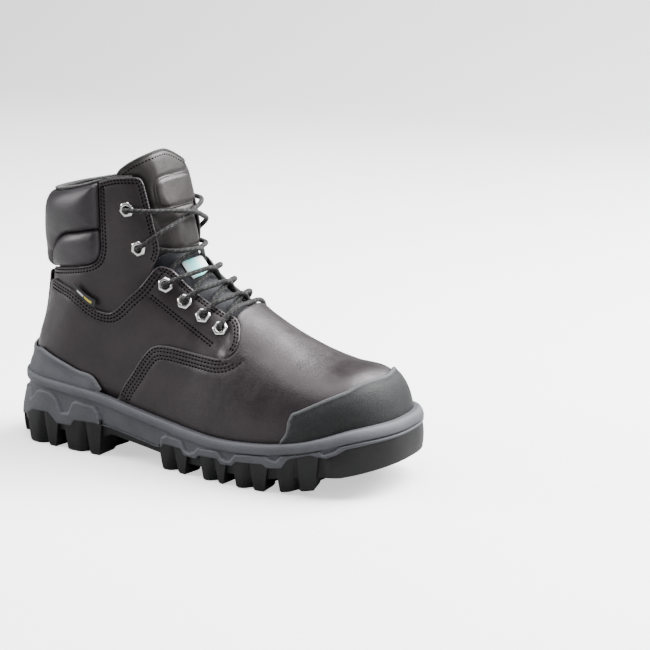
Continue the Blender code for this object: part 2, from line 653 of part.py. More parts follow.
# ---------------------------------------------------------------- the leather upper
def ordered(*pieces):
    """One outline from several runs of (s, phi) pairs, without repeated points."""
    loop = []
    for piece in pieces:
        for point in piece:
            if not loop or max(abs(point[0] - loop[-1][0]), abs(point[1] - loop[-1][1])) > 1e-4:
                loop.append(point)
    if max(abs(loop[0][0] - loop[-1][0]), abs(loop[0][1] - loop[-1][1])) < 1e-4:
        loop.pop()
    return loop


def mirrored(line):
    return [(s, -phi) for s, phi in line]


def raised(line, ds):
    """The line moved up the shaft by ds."""
    return [(s + ds, phi) for s, phi in line]


RIM_FOOT = height_of(FEATHER, -RIM_DEPTH + 1.2)      # where the leather ends, down in the sole's cup


def vamp(finish):
    """The front of the upper with a wing down each side of the arch."""
    wing = trace(WING_EDGE, -1)
    low = level_line(-1, RIM_FOOT, 22, 0.0, wing[-1][0] + 0.005)
    throat = [(wing[0][0] + 0.004, phi) for phi in np.linspace(wing[0][1], -wing[0][1], 6)[1:-1]]
    outline = ordered(low, wing[::-1], throat, mirrored(wing), mirrored(low)[::-1])
    return shell("vamp", outline, LEVEL_3, finish, spacing=12.5)


def back_seam(s_from, s_to, side, n, gap=0.004):
    return [(s, side * (1 - gap)) for s in np.linspace(s_from, s_to, n)]


def eyelet_holes(places, side):
    return [circle_hole(*locate(x, z, side), EYELET_BORE + 1.3, 8) for x, z in places]


def quarter(name, side, finish):
    top = trace(QUARTER_TOP, side)
    front = trace(FACING_FRONT, side)
    under = trace(((149.0, 100.5), (153.0, 94.0), (154.5, 86.0), (151.0, 79.0), (143.0, 75.5), (117.0, 77.5),
                   (97.0, 79.0), (90.0, 78.0), (85.0, 74.0), (73.0, 58.0), (66.0, 49.0)), side)
    low = level_line(side, RIM_FOOT, 14, under[-1][0])
    seam = back_seam(low[-1][0], top[0][0], side, 8)
    low = [(s, phi) for s, phi in low[:-1] if abs(phi) < 0.99]
    outline = ordered(seam, top, front, under, low)
    return shell(name, outline, LEVEL_2, finish, eyelet_holes(LOWER_EYELETS, side))


def collar_front(side):
    return trace([(COLLAR_FRONT_X, z) for z in (146.3, 158.0, 172.0, 184.0, 194.1)], side)


def shaft(name, side, finish):
    """The ankle panel with the upper eyelet flap."""
    foot = trace(COLLAR_FOOT, side)
    front = trace(FLAP_FRONT, side)
    top = trace(((41.6, 194.2), (54.2, 197.7), (62.0, 198.6)), side)
    under = trace(((75.5, 124.5), (65.0, 110.0), (56.0, 100.0), (49.0, 95.0), (40.0, 95.0), (31.0, 97.5),
                   (14.0, 107.0), (-5.0, 112.0)), side)
    seam = back_seam(under[-1][0], foot[0][0] - 0.004, side, 3)
    outline = ordered(seam, foot, collar_front(side), top, front, under)
    return shell(name, outline, LEVEL_1, finish, eyelet_holes(UPPER_EYELETS, side))


PAD_GAP = 0.0022             # half the gap between two pads, as a share of s
PAD_SWELL = 4.0


def lower_pad(name, side, finish):
    """The padded roll below the collar, on one side of the heel tendon."""
    foot = raised(trace(((-7.8, 127.6), *COLLAR_FOOT[1:-1]), side), PAD_GAP)
    split = raised(trace((*COLLAR_SPLIT[:-1], (-7.4, 139.0)), side), -PAD_GAP)
    front = trace(((39.7, 146.5), (39.9, 152.0), (39.4, 158.0)), side)
    outline = ordered(foot, front, split)
    swell = near_outline(outline, 7.0)
    return shell(name, outline, LEVEL_1, finish, bulge=lambda s, phi: PAD_SWELL * swell(s, phi))


def upper_pad(finish):
    """The thick pad that runs round the back of the collar and down to the heel tendon."""
    halves = []
    for side in (-1, 1):
        foot = locate(*COLLAR_FOOT[0], side)
        split = raised(trace(COLLAR_SPLIT[::-1], side), PAD_GAP)
        front = trace(((39.9, 165.0), (39.9, 173.0), (39.9, 184.0), (39.9, 193.3)), side)
        top = trace(((30.0, 190.3), (16.0, 186.6), (1.8, 183.6), (-7.0, 182.3)), side)
        halves.append([(foot[0] + PAD_GAP, foot[1])] + split + front + top)
    outer = [(s, phi + 2) for s, phi in halves[0]]
    back_top = [((outer[-1][0] + halves[1][-1][0]) / 2, 1.0)]
    outline = ordered(halves[1], back_top, outer[::-1])
    swell = near_outline(outline, 9.0)
    height = PAD_SWELL + 1.5
    return shell("collar_pad_upper", outline, LEVEL_1, finish, bulge=lambda s, phi: height * swell(s, phi))


def toe_guard(finish):
    edge = trace(GUARD_EDGE, -1)
    t = np.linspace(0, 1, 6)[1:]
    crown = [(edge[-1][0] + (GUARD_RIDGE - edge[-1][0]) * (2 * a - a * a), edge[-1][1] * (1 - a)) for a in t]
    low = level_line(-1, height_of(FEATHER, RIM_STAND), 16, 0.0, edge[0][0])
    outline = ordered(low, edge, crown, mirrored(crown)[::-1], mirrored(edge)[::-1], mirrored(low)[::-1])
    return shell("toe_guard", outline, LEVEL_4, finish)


def steel_cap(finish):
    """The steel toe cap, over the toes and down to the midsole floor."""
    low = level_line(-1, height_of(FEATHER, -6.5), 14, 0.0, 0.235)
    arch = [(0.235 - 0.02 * math.cos(phi * 6), phi) for phi in np.linspace(low[-1][1] + 0.02, 0, 6)]
    outline = ordered(low, arch, mirrored(arch)[::-1], mirrored(low)[::-1])
    return shell("steel_toe_cap", outline, STEEL_CAP, finish, spacing=15.0)


def band(name, edge, height, level, finish, n=14, spacing=LATTICE):
    """A band round the heel: edge is its top line on the outer side, height is the line it stands on."""
    low = level_line(-1, height, n, edge[0][0])
    low = [(s, phi + 2) for s, phi in low]
    high = [(s, phi + 2) for s, phi in edge]
    other = lambda line: [(s, 2 - phi) for s, phi in line]
    outline = ordered(low, other(low)[::-1], other(high), high[::-1])
    return shell(name, outline, level, finish, spacing=spacing)


def heel_clip(finish):
    edge = trace(CLIP_EDGE, -1)
    s, phi = edge[-1]
    edge += [(s + (CLIP_BACK - s) * a, phi - (1 + phi) * a) for a in (0.5, 1.0)]
    return band("heel_clip", edge, height_of(FEATHER, RIM_STAND), LEVEL_3, finish)


def heel_counter(finish):
    edge = trace(((55.0, 44.5), (48.0, 54.0), (36.0, 70.0), (18.0, 84.0), (-6.0, 92.0)), -1) + [(0.715, -1.0)]
    return band("heel_counter", edge, RIM_FOOT, COUNTER, finish)


def backstay(finish):
    """The strap down the middle of the heel, from the collar to the heel clip."""
    width = ((CLIP_BACK + 0.005, 0.062), (0.70, 0.064), (0.725, 0.068), (0.75, 0.074), (0.766, 0.078))
    outline = [(s, 1 - w) for s, w in width] + [(s, 1 + w) for s, w in width[::-1]]
    return shell("backstay", outline, LEVEL_3, finish)


# ---------------------------------------------------------------- lining and tongue
LINING_TOP = ((0.385, 0.0), (0.385, 0.09), (0.388, 0.19), (0.42, 0.262), (0.50, 0.245), (0.58, 0.235),
              (0.65, 0.31), (0.74, 0.345), (0.85, 0.385), (0.925, 0.41), (0.930, 0.50), (0.926, 0.60),
              (0.926, 0.765), (0.928, 0.88), (0.93, 1.0))


def even(line, n):
    """n points evenly spaced along a run of (s, phi) pairs, measured on the flat pattern."""
    line = np.asarray(line, float)
    length = np.concatenate([[0], np.cumsum(np.linalg.norm(np.diff(flat(line), axis=0), axis=1))])
    want = np.linspace(0, length[-1], n)
    return np.stack([np.interp(want, length, line[:, k]) for k in range(2)], 1)


def lining(finish, half=22, rows=8):
    """The fabric bootie: one ring of cloth from the sole's cup to the collar, open at the throat."""
    grid = []
    for side in (-1, 1):
        low = np.array(level_line(side, RIM_FOOT, half + 1))
        high = even([(s, side * phi) for s, phi in LINING_TOP], half + 1)
        grid.append([low + (high - low) * r / rows for r in range(rows + 1)])
    around = [np.concatenate([outer, inner[-2:0:-1]]) for outer, inner in zip(*grid)]
    n = len(around[0])
    points, faces = [], []
    for level in LINING:
        points += [surface(row[:, 0], row[:, 1], np.full(n, level)) for row in around]
    layer = (rows + 1) * n
    for r in range(rows):
        for k in range(n):
            a, b = r * n + k, r * n + (k + 1) % n
            faces.append((a, b, b + n, a + n))
            faces.append((layer + a, layer + a + n, layer + b + n, layer + b))
    for k in range(n):
        a, b = k, (k + 1) % n
        faces.append((a, layer + a, layer + b, b))
        faces.append((rows * n + a, rows * n + b, layer + rows * n + b, layer + rows * n + a))
    return add_object("lining", np.concatenate(points), faces, finish)


TONGUE_EDGE = ((0.990, 0.0), (0.989, 0.10), (0.981, 0.204), (0.968, 0.295), (0.948, 0.364), (0.92, 0.385),
               (0.84, 0.375), (0.76, 0.345), (0.712, 0.28), (0.694, 0.16), (0.684, 0.0))
TONGUE_PROUD = 0.5           # the padded tongue's outer face in the middle
TONGUE_SHOULDER = -7.0       # and at its flanks, under the eyelet flaps
TONGUE_THICK = 6.5


def tongue_face(s, phi):
    """The tongue's outer face: proud in the middle, low under the flaps, and less low above them."""
    low = TONGUE_SHOULDER + 3.0 * smoothstep(0.935, 0.97, s)
    return TONGUE_PROUD + (low - TONGUE_PROUD) * smoothstep(0.05, 0.165, np.abs(phi))


def plate(name, outline, outer, inner, finish, spacing=LATTICE):
    """Like shell, with the two levels as functions of (s, phi)."""
    return shell(name, outline, (0.0, 0.0), finish, spacing=spacing, bulge=outer, dip=inner)


def both_sides(line):
    """A closed outline from the half of it on the inner side, which starts and ends on the ridge."""
    return ordered(line, mirrored(line)[::-1])


def tongue(finish):
    outline = both_sides(TONGUE_EDGE)
    thick = near_outline(outline, 14.0)
    return plate("tongue_pad", outline, tongue_face,
                 lambda s, phi: tongue_face(s, phi) - 2.0 - (TONGUE_THICK - 2.0) * thick(s, phi), finish)


GUSSET_EDGE = ((0.678, 0.0), (0.684, 0.12), (0.68, 0.19), (0.62, 0.20), (0.56, 0.205), (0.45, 0.205),
               (0.40, 0.18), (0.398, 0.10), (0.398, 0.0))


def gusset_face(s, phi):
    return -4.2 + 1.9 * (1 - smoothstep(0.03, 0.13, np.abs(phi)))


def gusset(finish):
    """The soft lower tongue, under the laces."""
    under = lambda s, phi: gusset_face(s, phi) - 2.0
    return plate("tongue_gusset", both_sides(GUSSET_EDGE), gusset_face, under, finish, spacing=14.0)


def tongue_label(finish):
    edge = ((0.628, 0.0), (0.628, 0.05), (0.56, 0.05), (0.56, 0.0))
    return plate("tongue_label", both_sides(edge), lambda s, phi: gusset_face(s, phi) + 0.9,
                 lambda s, phi: gusset_face(s, phi) + 0.35, finish)


def side_tag(finish):
    outline = trace(((19.2, 120.8), (36.9, 110.8), (36.7, 105.5), (19.1, 116.0)), -1)
    return shell("side_tag", outline, (2.9, 3.5), finish)


BINDING_RADIUS = 1.4
BINDING_RISE = 0.0085        # how far the binding lies above the collar's edge, as a share of s


def collar_binding(finish):
    edge = []
    for side in (-1, 1):
        line = trace(((40.0, 193.9), (30.0, 190.6), (16.0, 187.0), (1.8, 184.4), (-9.0, 182.7)), side)
        edge.append([(s, phi + (2 if side < 0 else 0)) for s, phi in line])
    run = edge[1] + [((edge[0][-1][0] + edge[1][-1][0]) / 2, 1.0)] + edge[0][::-1]
    s, phi = np.array(run).T
    path = surface(s + BINDING_RISE, phi, np.full(len(s), -1.0))
    steps = np.linspace(0, len(path) - 1, 27)
    return tube("collar_binding", spline(np.c_[np.arange(len(path)), path], steps), BINDING_RADIUS, finish)


# ---------------------------------------------------------------- eyelets and lace
EYELET_RISE = 0.35           # gap between the leather and the eyelet's head
EYELET_HEAD = 1.0
EYELET_WALL = 0.6


def eyelet_places(side):
    """(s, phi, leather level) of each eyelet, from the lowest up."""
    lower = [(*locate(x, z, side), LEVEL_2) for x, z in LOWER_EYELETS[::-1]]
    return lower + [(*locate(x, z, side), LEVEL_1) for x, z in UPPER_EYELETS[::-1]]


def eyelet(name, s, phi, level, finish, sides=6):
    """A tube through the leather under a hexagonal head, with a round bore."""
    centre = surface(s, phi)
    axis = sample(NORMAL, s, phi)
    axis = axis / np.linalg.norm(axis)
    up = np.cross(axis, surface(s, phi + 1e-3) - centre)
    up /= np.linalg.norm(up)
    across = np.cross(axis, up)
    base, top = level[1] + EYELET_RISE, level[1] + EYELET_RISE + EYELET_HEAD

    def ring(radius, height):
        turns = [2 * math.pi * k / sides for k in range(sides)]
        return [centre + axis * height + radius * (math.cos(a) * up + math.sin(a) * across) for a in turns]

    rings = [ring(EYELET_BORE, level[0] - 0.3), ring(EYELET_BORE + EYELET_WALL, level[0] - 0.3),
             ring(EYELET_BORE + EYELET_WALL, base), ring(EYELET_HEX, base), ring(EYELET_HEX, top - 0.3),
             ring(EYELET_HEX - 0.6, top), ring(EYELET_BORE, top)]
    faces = []
    n = len(rings)
    for r in range(n):
        for k in range(sides):
            a, b = r * sides + k, r * sides + (k + 1) % sides
            c, d = (r + 1) % n * sides + (k + 1) % sides, (r + 1) % n * sides + k
            faces.append((a, b, c, d))
    return add_object(name, np.concatenate(rings), faces, finish)


EDGE_PHI = (0.125, 0.125, 0.12, 0.12, 0.168, 0.21)   # the panel edge beside each eyelet, lowest first
OVER_RISE = 3.9              # how far the upper strand of a crossing rises over the lower one


def strand(start, end, over):
    """Waypoints (s, phi, offset) of one crossing. start and end are (row, side, mode, places)."""
    ends = []
    for row, side, mode, places in (start, end):
        s, phi, level = places[row]
        edge = EDGE_PHI[row]
        if mode == "out":
            hole = (s, phi, level[1] + EYELET_RISE + EYELET_HEAD + LACE_RADIUS + 0.35)
            rim = (s, side * edge, level[1] + EYELET_RISE + EYELET_HEAD + LACE_RADIUS + 0.4)
            gap = (s, side * (edge - 0.05), max(level[1], 0.8) + LACE_RADIUS + 0.5)
        else:
            hole = (s, phi, level[0] - 0.3 - LACE_RADIUS - 0.35)
            rim = (s, side * edge, level[0] - LACE_RADIUS - 0.7)
            gap = (s, side * (edge - 0.055), (1.2 if row > 3 else -0.4) + LACE_RADIUS * 0.2)
        ends.append((hole, rim, gap))
    (a_hole, a_rim, a_gap), (b_hole, b_rim, b_gap) = ends
    toward = lambda p, q, t: (p[0] + (q[0] - p[0]) * t, p[1], p[2])
    middle = ((a_hole[0] + b_hole[0]) / 2, 0.0, 2.8 + (OVER_RISE if over else 0.0))
    share = lambda p: 0.5 * (1 - abs(p[1]) / max(abs(a_hole[1]), abs(b_hole[1])))
    return [a_hole, toward(a_rim, b_hole, share(a_rim)), toward(a_gap, b_hole, share(a_gap)), middle,
            toward(b_gap, a_hole, share(b_gap)), toward(b_rim, a_hole, share(b_rim)), b_hole]


def lace_runs():
    """The lace from one end to the other, as crossings between the twelve eyelets."""
    outer, inner = eyelet_places(-1), eyelet_places(1)
    stop = lambda side, row, mode: (row, side, mode, outer if side < 0 else inner)
    order = [(-1, 5, "out", 1, 4, "out", True), (1, 4, "in", -1, 3, "in", False),
             (-1, 3, "out", 1, 2, "in", True), (1, 2, "out", -1, 1, "in", False),
             (-1, 1, "out", 1, 0, "in", True), (1, 0, "out", -1, 0, "out", False),
             (-1, 0, "in", 1, 1, "out", False), (1, 1, "in", -1, 2, "out", True),
             (-1, 2, "in", 1, 3, "out", False), (1, 3, "in", -1, 4, "in", True),
             (-1, 4, "out", 1, 5, "out", False)]
    return [strand(stop(a, r, m), stop(b, q, n), over) for a, r, m, b, q, n, over in order]


def lace_path():
    """Points along the whole lace. It ends inside the top eyelets, beside the tongue."""
    path = []
    for run in lace_runs():
        s, phi, offset = np.array(run).T
        points = surface(s, phi, offset)
        length = np.concatenate([[0], np.cumsum(np.linalg.norm(np.diff(points, axis=0), axis=1))])
        count = max(6, int(length[-1] / 6.0))
        smooth = spline(np.c_[length, points], np.linspace(0, length[-1], count))
        path += list(smooth)
    for end, at in ((0, 0), (-1, len(path))):
        side = -1 if end == 0 else 1
        s, phi, level = eyelet_places(side)[5]
        inside_level = level[0] - 0.3 - LACE_RADIUS - 0.35
        tail = [surface(s + ds, side * 0.30, inside_level) for ds in (0.026, 0.014)]
        tail.append(surface(s, phi, inside_level))
        path = tail + path if end == 0 else path + tail[::-1]
    return np.array(path)


def lace(finish):
    return tube("lace", lace_path(), LACE_RADIUS, finish)


def aglet(name, side, finish):
    s, _, level = eyelet_places(side)[5]
    depth = level[0] - 0.3 - LACE_RADIUS - 0.35
    path = [surface(s + ds, side * 0.30, depth) for ds in np.linspace(0.029, 0.066, 3)]
    return tube(name, path, LACE_RADIUS - 0.2, finish, 8)


# ---------------------------------------------------------------- build
# Finishes, as (colour, roughness, metallic)
RUBBER = ((0.018, 0.018, 0.02), 0.62, 0.0)
GREY_RUBBER = ((0.11, 0.112, 0.122), 0.6, 0.0)
GUARD_RUBBER = ((0.045, 0.045, 0.05), 0.6, 0.0)
LEATHER = ((0.022, 0.019, 0.02), 0.38, 0.0)
CLOTH = ((0.016, 0.016, 0.018), 0.9, 0.0)
NAVY_CLOTH = ((0.015, 0.017, 0.026), 0.9, 0.0)
LACE_CORD = ((0.02, 0.02, 0.022), 0.85, 0.0)
STEEL = ((0.55, 0.55, 0.56), 0.35, 1.0)
NICKEL = ((0.72, 0.72, 0.73), 0.2, 1.0)
BOARD = ((0.35, 0.28, 0.2), 0.9, 0.0)
FOAM = ((0.05, 0.05, 0.055), 0.9, 0.0)
LABEL = ((0.25, 0.6, 0.62), 0.6, 0.0)

# Joint axes, all across the boot (along Y), as (x, z)
TOE_HINGE = (165.0, 24.0)    # the sole bends here, behind the steel cap
ANKLE_HINGE = (52.0, 104.0)  # the shaft leans about here, level with the quarters' dip
TONGUE_HINGE = (88.0, 148.0)     # the padded tongue folds at its lower edge


def on_hinge(hinge, *moving):
    """Puts the origin of each moving piece on its joint's axis."""
    for obj in moving:
        set_origin(obj, (hinge[0], 0.0, hinge[1]))


def build():
    outsole(RUBBER)
    sole = midsole(GREY_RUBBER)
    steel_shank(STEEL, sole)
    slab("puncture_plate", 0.8, 1.8, -4.4, STEEL)
    slab("insole_board", 2.2, 3.9, -3.8, BOARD)
    slab("footbed", 4.3, 8.5, -5.8, FOAM)
    vamp(LEATHER)
    quarter("lateral_quarter", -1, LEATHER)
    quarter("medial_quarter", 1, LEATHER)
    for side, word in ((-1, "lateral"), (1, "medial")):
        on_hinge(ANKLE_HINGE, shaft(f"{word}_shaft", side, LEATHER))
        on_hinge(ANKLE_HINGE, lower_pad(f"collar_pad_{word}", side, LEATHER))
    on_hinge(ANKLE_HINGE, upper_pad(LEATHER), collar_binding(CLOTH))
    on_hinge(TOE_HINGE, toe_guard(GUARD_RUBBER), steel_cap(STEEL))
    heel_clip(GREY_RUBBER)
    heel_counter(BOARD)
    backstay(LEATHER)
    lining(CLOTH)
    on_hinge(TONGUE_HINGE, tongue(LEATHER))
    gusset(NAVY_CLOTH)
    tongue_label(LABEL)
    side_tag(CLOTH)
    for side, word in ((-1, "lateral"), (1, "medial")):
        for row, (s, phi, level) in enumerate(eyelet_places(side)):
            ring = eyelet(f"eyelet_{word}_{row + 1}", s, phi, level, NICKEL)
            if row >= len(LOWER_EYELETS):
                on_hinge(ANKLE_HINGE, ring)
        on_hinge(ANKLE_HINGE, aglet(f"aglet_{word}", side, NICKEL))
    lace(LACE_CORD)


clear_scene()
build()
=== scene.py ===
"""The looks of the laced work boot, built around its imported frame.

Lengths are in millimetres and become metres when a mesh is made. +X is the toe, +Y the inner side, +Z up.

The upper is built on one base surface, the same one as in the CAD. A point on it is named by (s, phi). s runs
from the toe (0) over the instep and up the shaft (1). phi is 0 on the front ridge, -1 to 0 on the outer side
and 0 to 1 on the inner side.
"""

import math

import bpy
import numpy as np
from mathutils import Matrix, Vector
from mathutils.geometry import delaunay_2d_cdt


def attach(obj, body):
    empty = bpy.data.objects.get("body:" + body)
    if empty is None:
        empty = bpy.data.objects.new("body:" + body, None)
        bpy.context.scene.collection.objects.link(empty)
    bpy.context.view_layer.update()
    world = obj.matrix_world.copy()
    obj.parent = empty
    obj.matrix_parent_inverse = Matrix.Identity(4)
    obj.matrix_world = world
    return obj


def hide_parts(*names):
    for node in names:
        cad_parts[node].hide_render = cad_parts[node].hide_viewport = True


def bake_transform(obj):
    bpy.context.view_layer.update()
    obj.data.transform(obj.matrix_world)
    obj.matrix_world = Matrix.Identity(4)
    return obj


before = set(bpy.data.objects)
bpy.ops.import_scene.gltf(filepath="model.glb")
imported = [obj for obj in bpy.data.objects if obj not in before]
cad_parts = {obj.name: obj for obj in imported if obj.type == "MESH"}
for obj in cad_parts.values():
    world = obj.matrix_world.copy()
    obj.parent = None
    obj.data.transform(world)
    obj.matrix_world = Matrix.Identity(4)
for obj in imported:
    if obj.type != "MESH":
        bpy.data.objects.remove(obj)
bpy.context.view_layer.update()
MM = 0.001

# ---------------------------------------------------------------- the base surface, as in the CAD
TOE_TIP_X, TOE_ROUND_X, TOE_DROP_X, TOE_POLE_Z = 251.0, 200.0, 226.0, 25.0
TOE_PLAN_POWER, TOE_SHARE = 2.4, 0.2
STATIONS = (
    # ridge x, z     back x, z     outer inner  widest above below
    (200.0, 79.0, 198.0, 20.5, 44.5, 41.5, 0.30, 2.6, 4.5),
    (188.0, 84.0, 184.0, 18.0, 46.5, 41.0, 0.27, 2.4, 4.5),
    (168.0, 94.0, 160.0, 17.0, 47.0, 38.0, 0.25, 2.2, 4.5),
    (148.0, 104.5, 128.0, 18.0, 43.5, 34.5, 0.24, 2.4, 4.2),
    (131.0, 114.0, 90.0, 22.0, 37.5, 31.5, 0.25, 3.0, 3.8),
    (117.0, 122.0, 45.0, 28.0, 34.5, 31.0, 0.27, 3.4, 3.4),
    (106.5, 129.5, 0.0, 31.5, 33.5, 31.0, 0.31, 3.6, 2.9),
    (99.0, 137.0, -28.0, 40.0, 33.5, 32.0, 0.37, 3.8, 2.4),
    (94.5, 144.0, -32.0, 62.0, 33.5, 32.5, 0.42, 3.4, 2.2),
    (92.5, 152.0, -23.0, 92.0, 33.5, 33.0, 0.46, 3.8, 2.1),
    (90.0, 164.0, -17.5, 124.0, 34.0, 34.0, 0.49, 4.2, 2.1),
    (86.0, 177.0, -16.0, 148.0, 34.5, 34.5, 0.50, 4.2, 2.1),
    (82.0, 190.0, -14.5, 168.0, 35.0, 35.0, 0.50, 4.2, 2.1),
    (78.0, 203.0, -13.0, 184.0, 35.0, 35.0, 0.50, 4.2, 2.1),
    (73.5, 217.0, -12.0, 198.0, 35.0, 35.0, 0.50, 4.2, 2.1),
)
TOE_TOP = ((200.0, 79.0), (212.0, 76.0), (226.0, 75.0), (251.0, 74.0))
TOE_BOTTOM = ((200.0, 20.5), (226.0, 24.0), (251.0, 25.0))
TOE_LEAN = ((200.0, 0.0), (226.0, 2.0), (251.0, 5.0))
FEATHER = ((-50, 51.5), (-20, 50.0), (10, 48.5), (41, 45.6), (68, 40.2), (92, 36.1), (118, 32.8),
           (143, 31.0), (168, 31.8), (192, 34.0), (209, 37.2), (225, 41.9), (239, 46.5), (250, 48.5),
           (270, 49.0))
FLOOR = ((-50, 36.0), (-20, 34.0), (0, 33.0), (45, 29.5), (90, 23.5), (128, 19.5), (160, 18.5), (184, 19.5),
         (200, 21.8), (226, 26.2), (262, 28.5))
# The leather layers, as their inner and outer distance from the base surface
LEVEL_1, LEVEL_2, LEVEL_3, LEVEL_4 = (-1.7, 0.0), (0.7, 2.2), (3.2, 4.8), (5.7, 7.9)


def spline(keys, x):
    """Smooth curve through (position, value) pairs, as a Hermite cubic with Catmull-Rom slopes."""
    k = np.asarray(keys, float)
    px, py = k[:, 0], k[:, 1:]
    x = np.clip(np.atleast_1d(np.asarray(x, float)), px[0], px[-1])
    slope = np.gradient(py, px, axis=0)
    i = np.clip(np.searchsorted(px, x) - 1, 0, len(px) - 2)
    width = px[i + 1] - px[i]
    t = ((x - px[i]) / width)[:, None]
    leave, arrive = slope[i] * width[:, None], slope[i + 1] * width[:, None]
    ease = 3 * t**2 - 2 * t**3
    out = (1 - ease) * py[i] + ease * py[i + 1] + (t**3 - 2 * t**2 + t) * leave + (t**3 - t**2) * arrive
    return out[:, 0] if out.shape[1] == 1 else out


def rounded(share, power):
    return np.clip(1 - np.clip(share, 0, 1) ** power, 0, 1) ** (1 / power)


def smoothstep(a, b, x):
    t = np.clip((x - a) / (b - a), 0, 1)
    return t * t * (3 - 2 * t)


def section_table(s):
    """The section's measures at each s, and how far the toe leans to one side."""
    behind = np.clip((s - TOE_SHARE) / (1 - TOE_SHARE), 0, 1)
    rows = spline([(i / (len(STATIONS) - 1), *row) for i, row in enumerate(STATIONS)], behind)
    lean = np.zeros(len(s))
    angle = np.clip(s / TOE_SHARE, 0, 1) * math.pi / 2
    x = TOE_ROUND_X + (TOE_TIP_X - TOE_ROUND_X) * np.cos(angle) ** (2 / TOE_PLAN_POWER)
    in_plan = np.sin(angle) ** (2 / TOE_PLAN_POWER)
    drop = rounded((x - TOE_DROP_X) / (TOE_TIP_X - TOE_DROP_X), TOE_PLAN_POWER)
    toe = s < TOE_SHARE
    top = TOE_POLE_Z + (spline(TOE_TOP, x) - TOE_POLE_Z) * drop
    bottom = TOE_POLE_Z - (TOE_POLE_Z - spline(TOE_BOTTOM, x)) * drop
    for column, values in ((0, x), (1, top), (2, x - 2 * in_plan), (3, bottom)):
        rows[toe, column] = values[toe]
    rows[toe, 4] *= in_plan[toe]
    rows[toe, 5] *= in_plan[toe]
    lean[toe] = spline(TOE_LEAN, x)[toe]
    return rows, lean


def build_base(n_s=481, n_phi=481, n_theta=721):
    """Points and normals of the base surface on an even grid of s and phi."""
    s = np.linspace(0, 1, n_s)
    rows, lean = section_table(s)
    tx, tz, bx, bz, outer, inner, widest, above, below = [rows[:, i][:, None] for i in range(9)]
    theta = np.linspace(0, math.pi, n_theta)[None, :]
    c, sn = np.cos(theta), np.sin(theta)
    up = theta <= math.pi / 2
    power = np.where(up, 2 / above, 2 / below)
    rise = np.where(up, widest + (1 - widest) * np.abs(c) ** power, widest - widest * np.abs(c) ** power)
    reach = sn ** power
    half = (n_phi - 1) // 2
    grid = np.zeros((n_s, n_phi, 3))
    for side, width in ((-1, outer), (1, inner)):
        p = np.stack([bx + rise * (tx - bx), lean[:, None] + side * width * reach, bz + rise * (tz - bz)], -1)
        steps = np.linalg.norm(np.diff(p, axis=1), axis=2)
        length = np.concatenate([np.zeros((n_s, 1)), np.cumsum(steps, 1)], 1)
        for i in range(n_s):
            want = np.linspace(0, length[i, -1], half + 1)
            even = np.stack([np.interp(want, length[i], p[i, :, k]) for k in range(3)], -1)
            if side < 0:
                grid[i, : half + 1] = even[::-1]
            else:
                grid[i, half:] = even
    along = np.gradient(grid, axis=0)
    wrapped = np.concatenate([grid[:, -2:-1], grid, grid[:, 1:2]], axis=1)
    normal = np.cross((wrapped[:, 2:] - wrapped[:, :-2]) / 2, along)
    normal[0] = (1, 0, 0)
    normal /= np.linalg.norm(normal, axis=2, keepdims=True)
    return grid, normal


BASE, NORMAL = build_base()


def sample(grid, s, phi):
    """Values of a grid over the base surface, between its points. phi goes round."""
    s, phi = np.broadcast_arrays(np.asarray(s, float), np.asarray(phi, float))
    phi = (phi + 1) % 2 - 1
    fs = np.clip(s, 0, 1) * (grid.shape[0] - 1)
    fp = (phi + 1) / 2 * (grid.shape[1] - 1)
    i = np.minimum(fs.astype(int), grid.shape[0] - 2)
    j = np.minimum(fp.astype(int), grid.shape[1] - 2)
    a, b = (fs - i)[..., None], (fp - j)[..., None]
    return ((1 - a) * (1 - b) * grid[i, j] + a * (1 - b) * grid[i + 1, j]
            + (1 - a) * b * grid[i, j + 1] + a * b * grid[i + 1, j + 1])


def normal_at(s, phi):
    normal = sample(NORMAL, s, phi)
    return normal / np.linalg.norm(normal, axis=-1, keepdims=True)


def surface(s, phi, offset=0.0):
    return sample(BASE, s, phi) + normal_at(s, phi) * np.asarray(offset, float)[..., None]


def locate(x, z, side):
    """(s, phi) of the base point with this side view position, on side -1 (outer) or 1 (inner)."""
    half = (BASE.shape[1] - 1) // 2
    columns = slice(0, half + 1) if side < 0 else slice(half, None)
    part = BASE[:, columns]
    i, j = np.unravel_index(np.argmin((part[..., 0] - x) ** 2 + (part[..., 2] - z) ** 2), part.shape[:2])
    j += 0 if side < 0 else half
    s, phi = i / (BASE.shape[0] - 1), j / (BASE.shape[1] - 1) * 2 - 1
    step = 1e-3
    low, high = (-1.0, -0.01) if side < 0 else (0.01, 1.0)
    for _ in range(10):
        here = sample(BASE, s, phi)[[0, 2]]
        ds = (sample(BASE, s + step, phi)[[0, 2]] - here) / step
        dp = (sample(BASE, s, phi - side * step)[[0, 2]] - here) / (-side * step)
        jac = np.stack([ds, dp], 1)
        if abs(np.linalg.det(jac)) < 1e-3:
            break
        move = np.clip(np.linalg.solve(jac, np.array([x, z]) - here), -0.02, 0.02)
        s, phi = float(np.clip(s + move[0], 0, 1)), float(np.clip(phi + move[1], low, high))
    return s, phi


def arc_length(points):
    return np.concatenate([[0], np.cumsum(np.linalg.norm(np.diff(points, axis=0), axis=1))])


def evenly(points, count):
    """count points at equal steps along a line of points."""
    points = np.asarray(points, float)
    length = arc_length(points)
    want = np.linspace(0, length[-1], count)
    return np.stack([np.interp(want, length, points[:, k]) for k in range(points.shape[1])], 1)


def trace(points, side, count):
    """A side view outline, smoothed to count points and put on the surface as (s, phi) pairs."""
    points = np.asarray(points, float)
    length = arc_length(points)
    fine = spline(np.c_[length, points], np.linspace(0, length[-1], count))
    return np.array([locate(x, z, side) for x, z in fine])


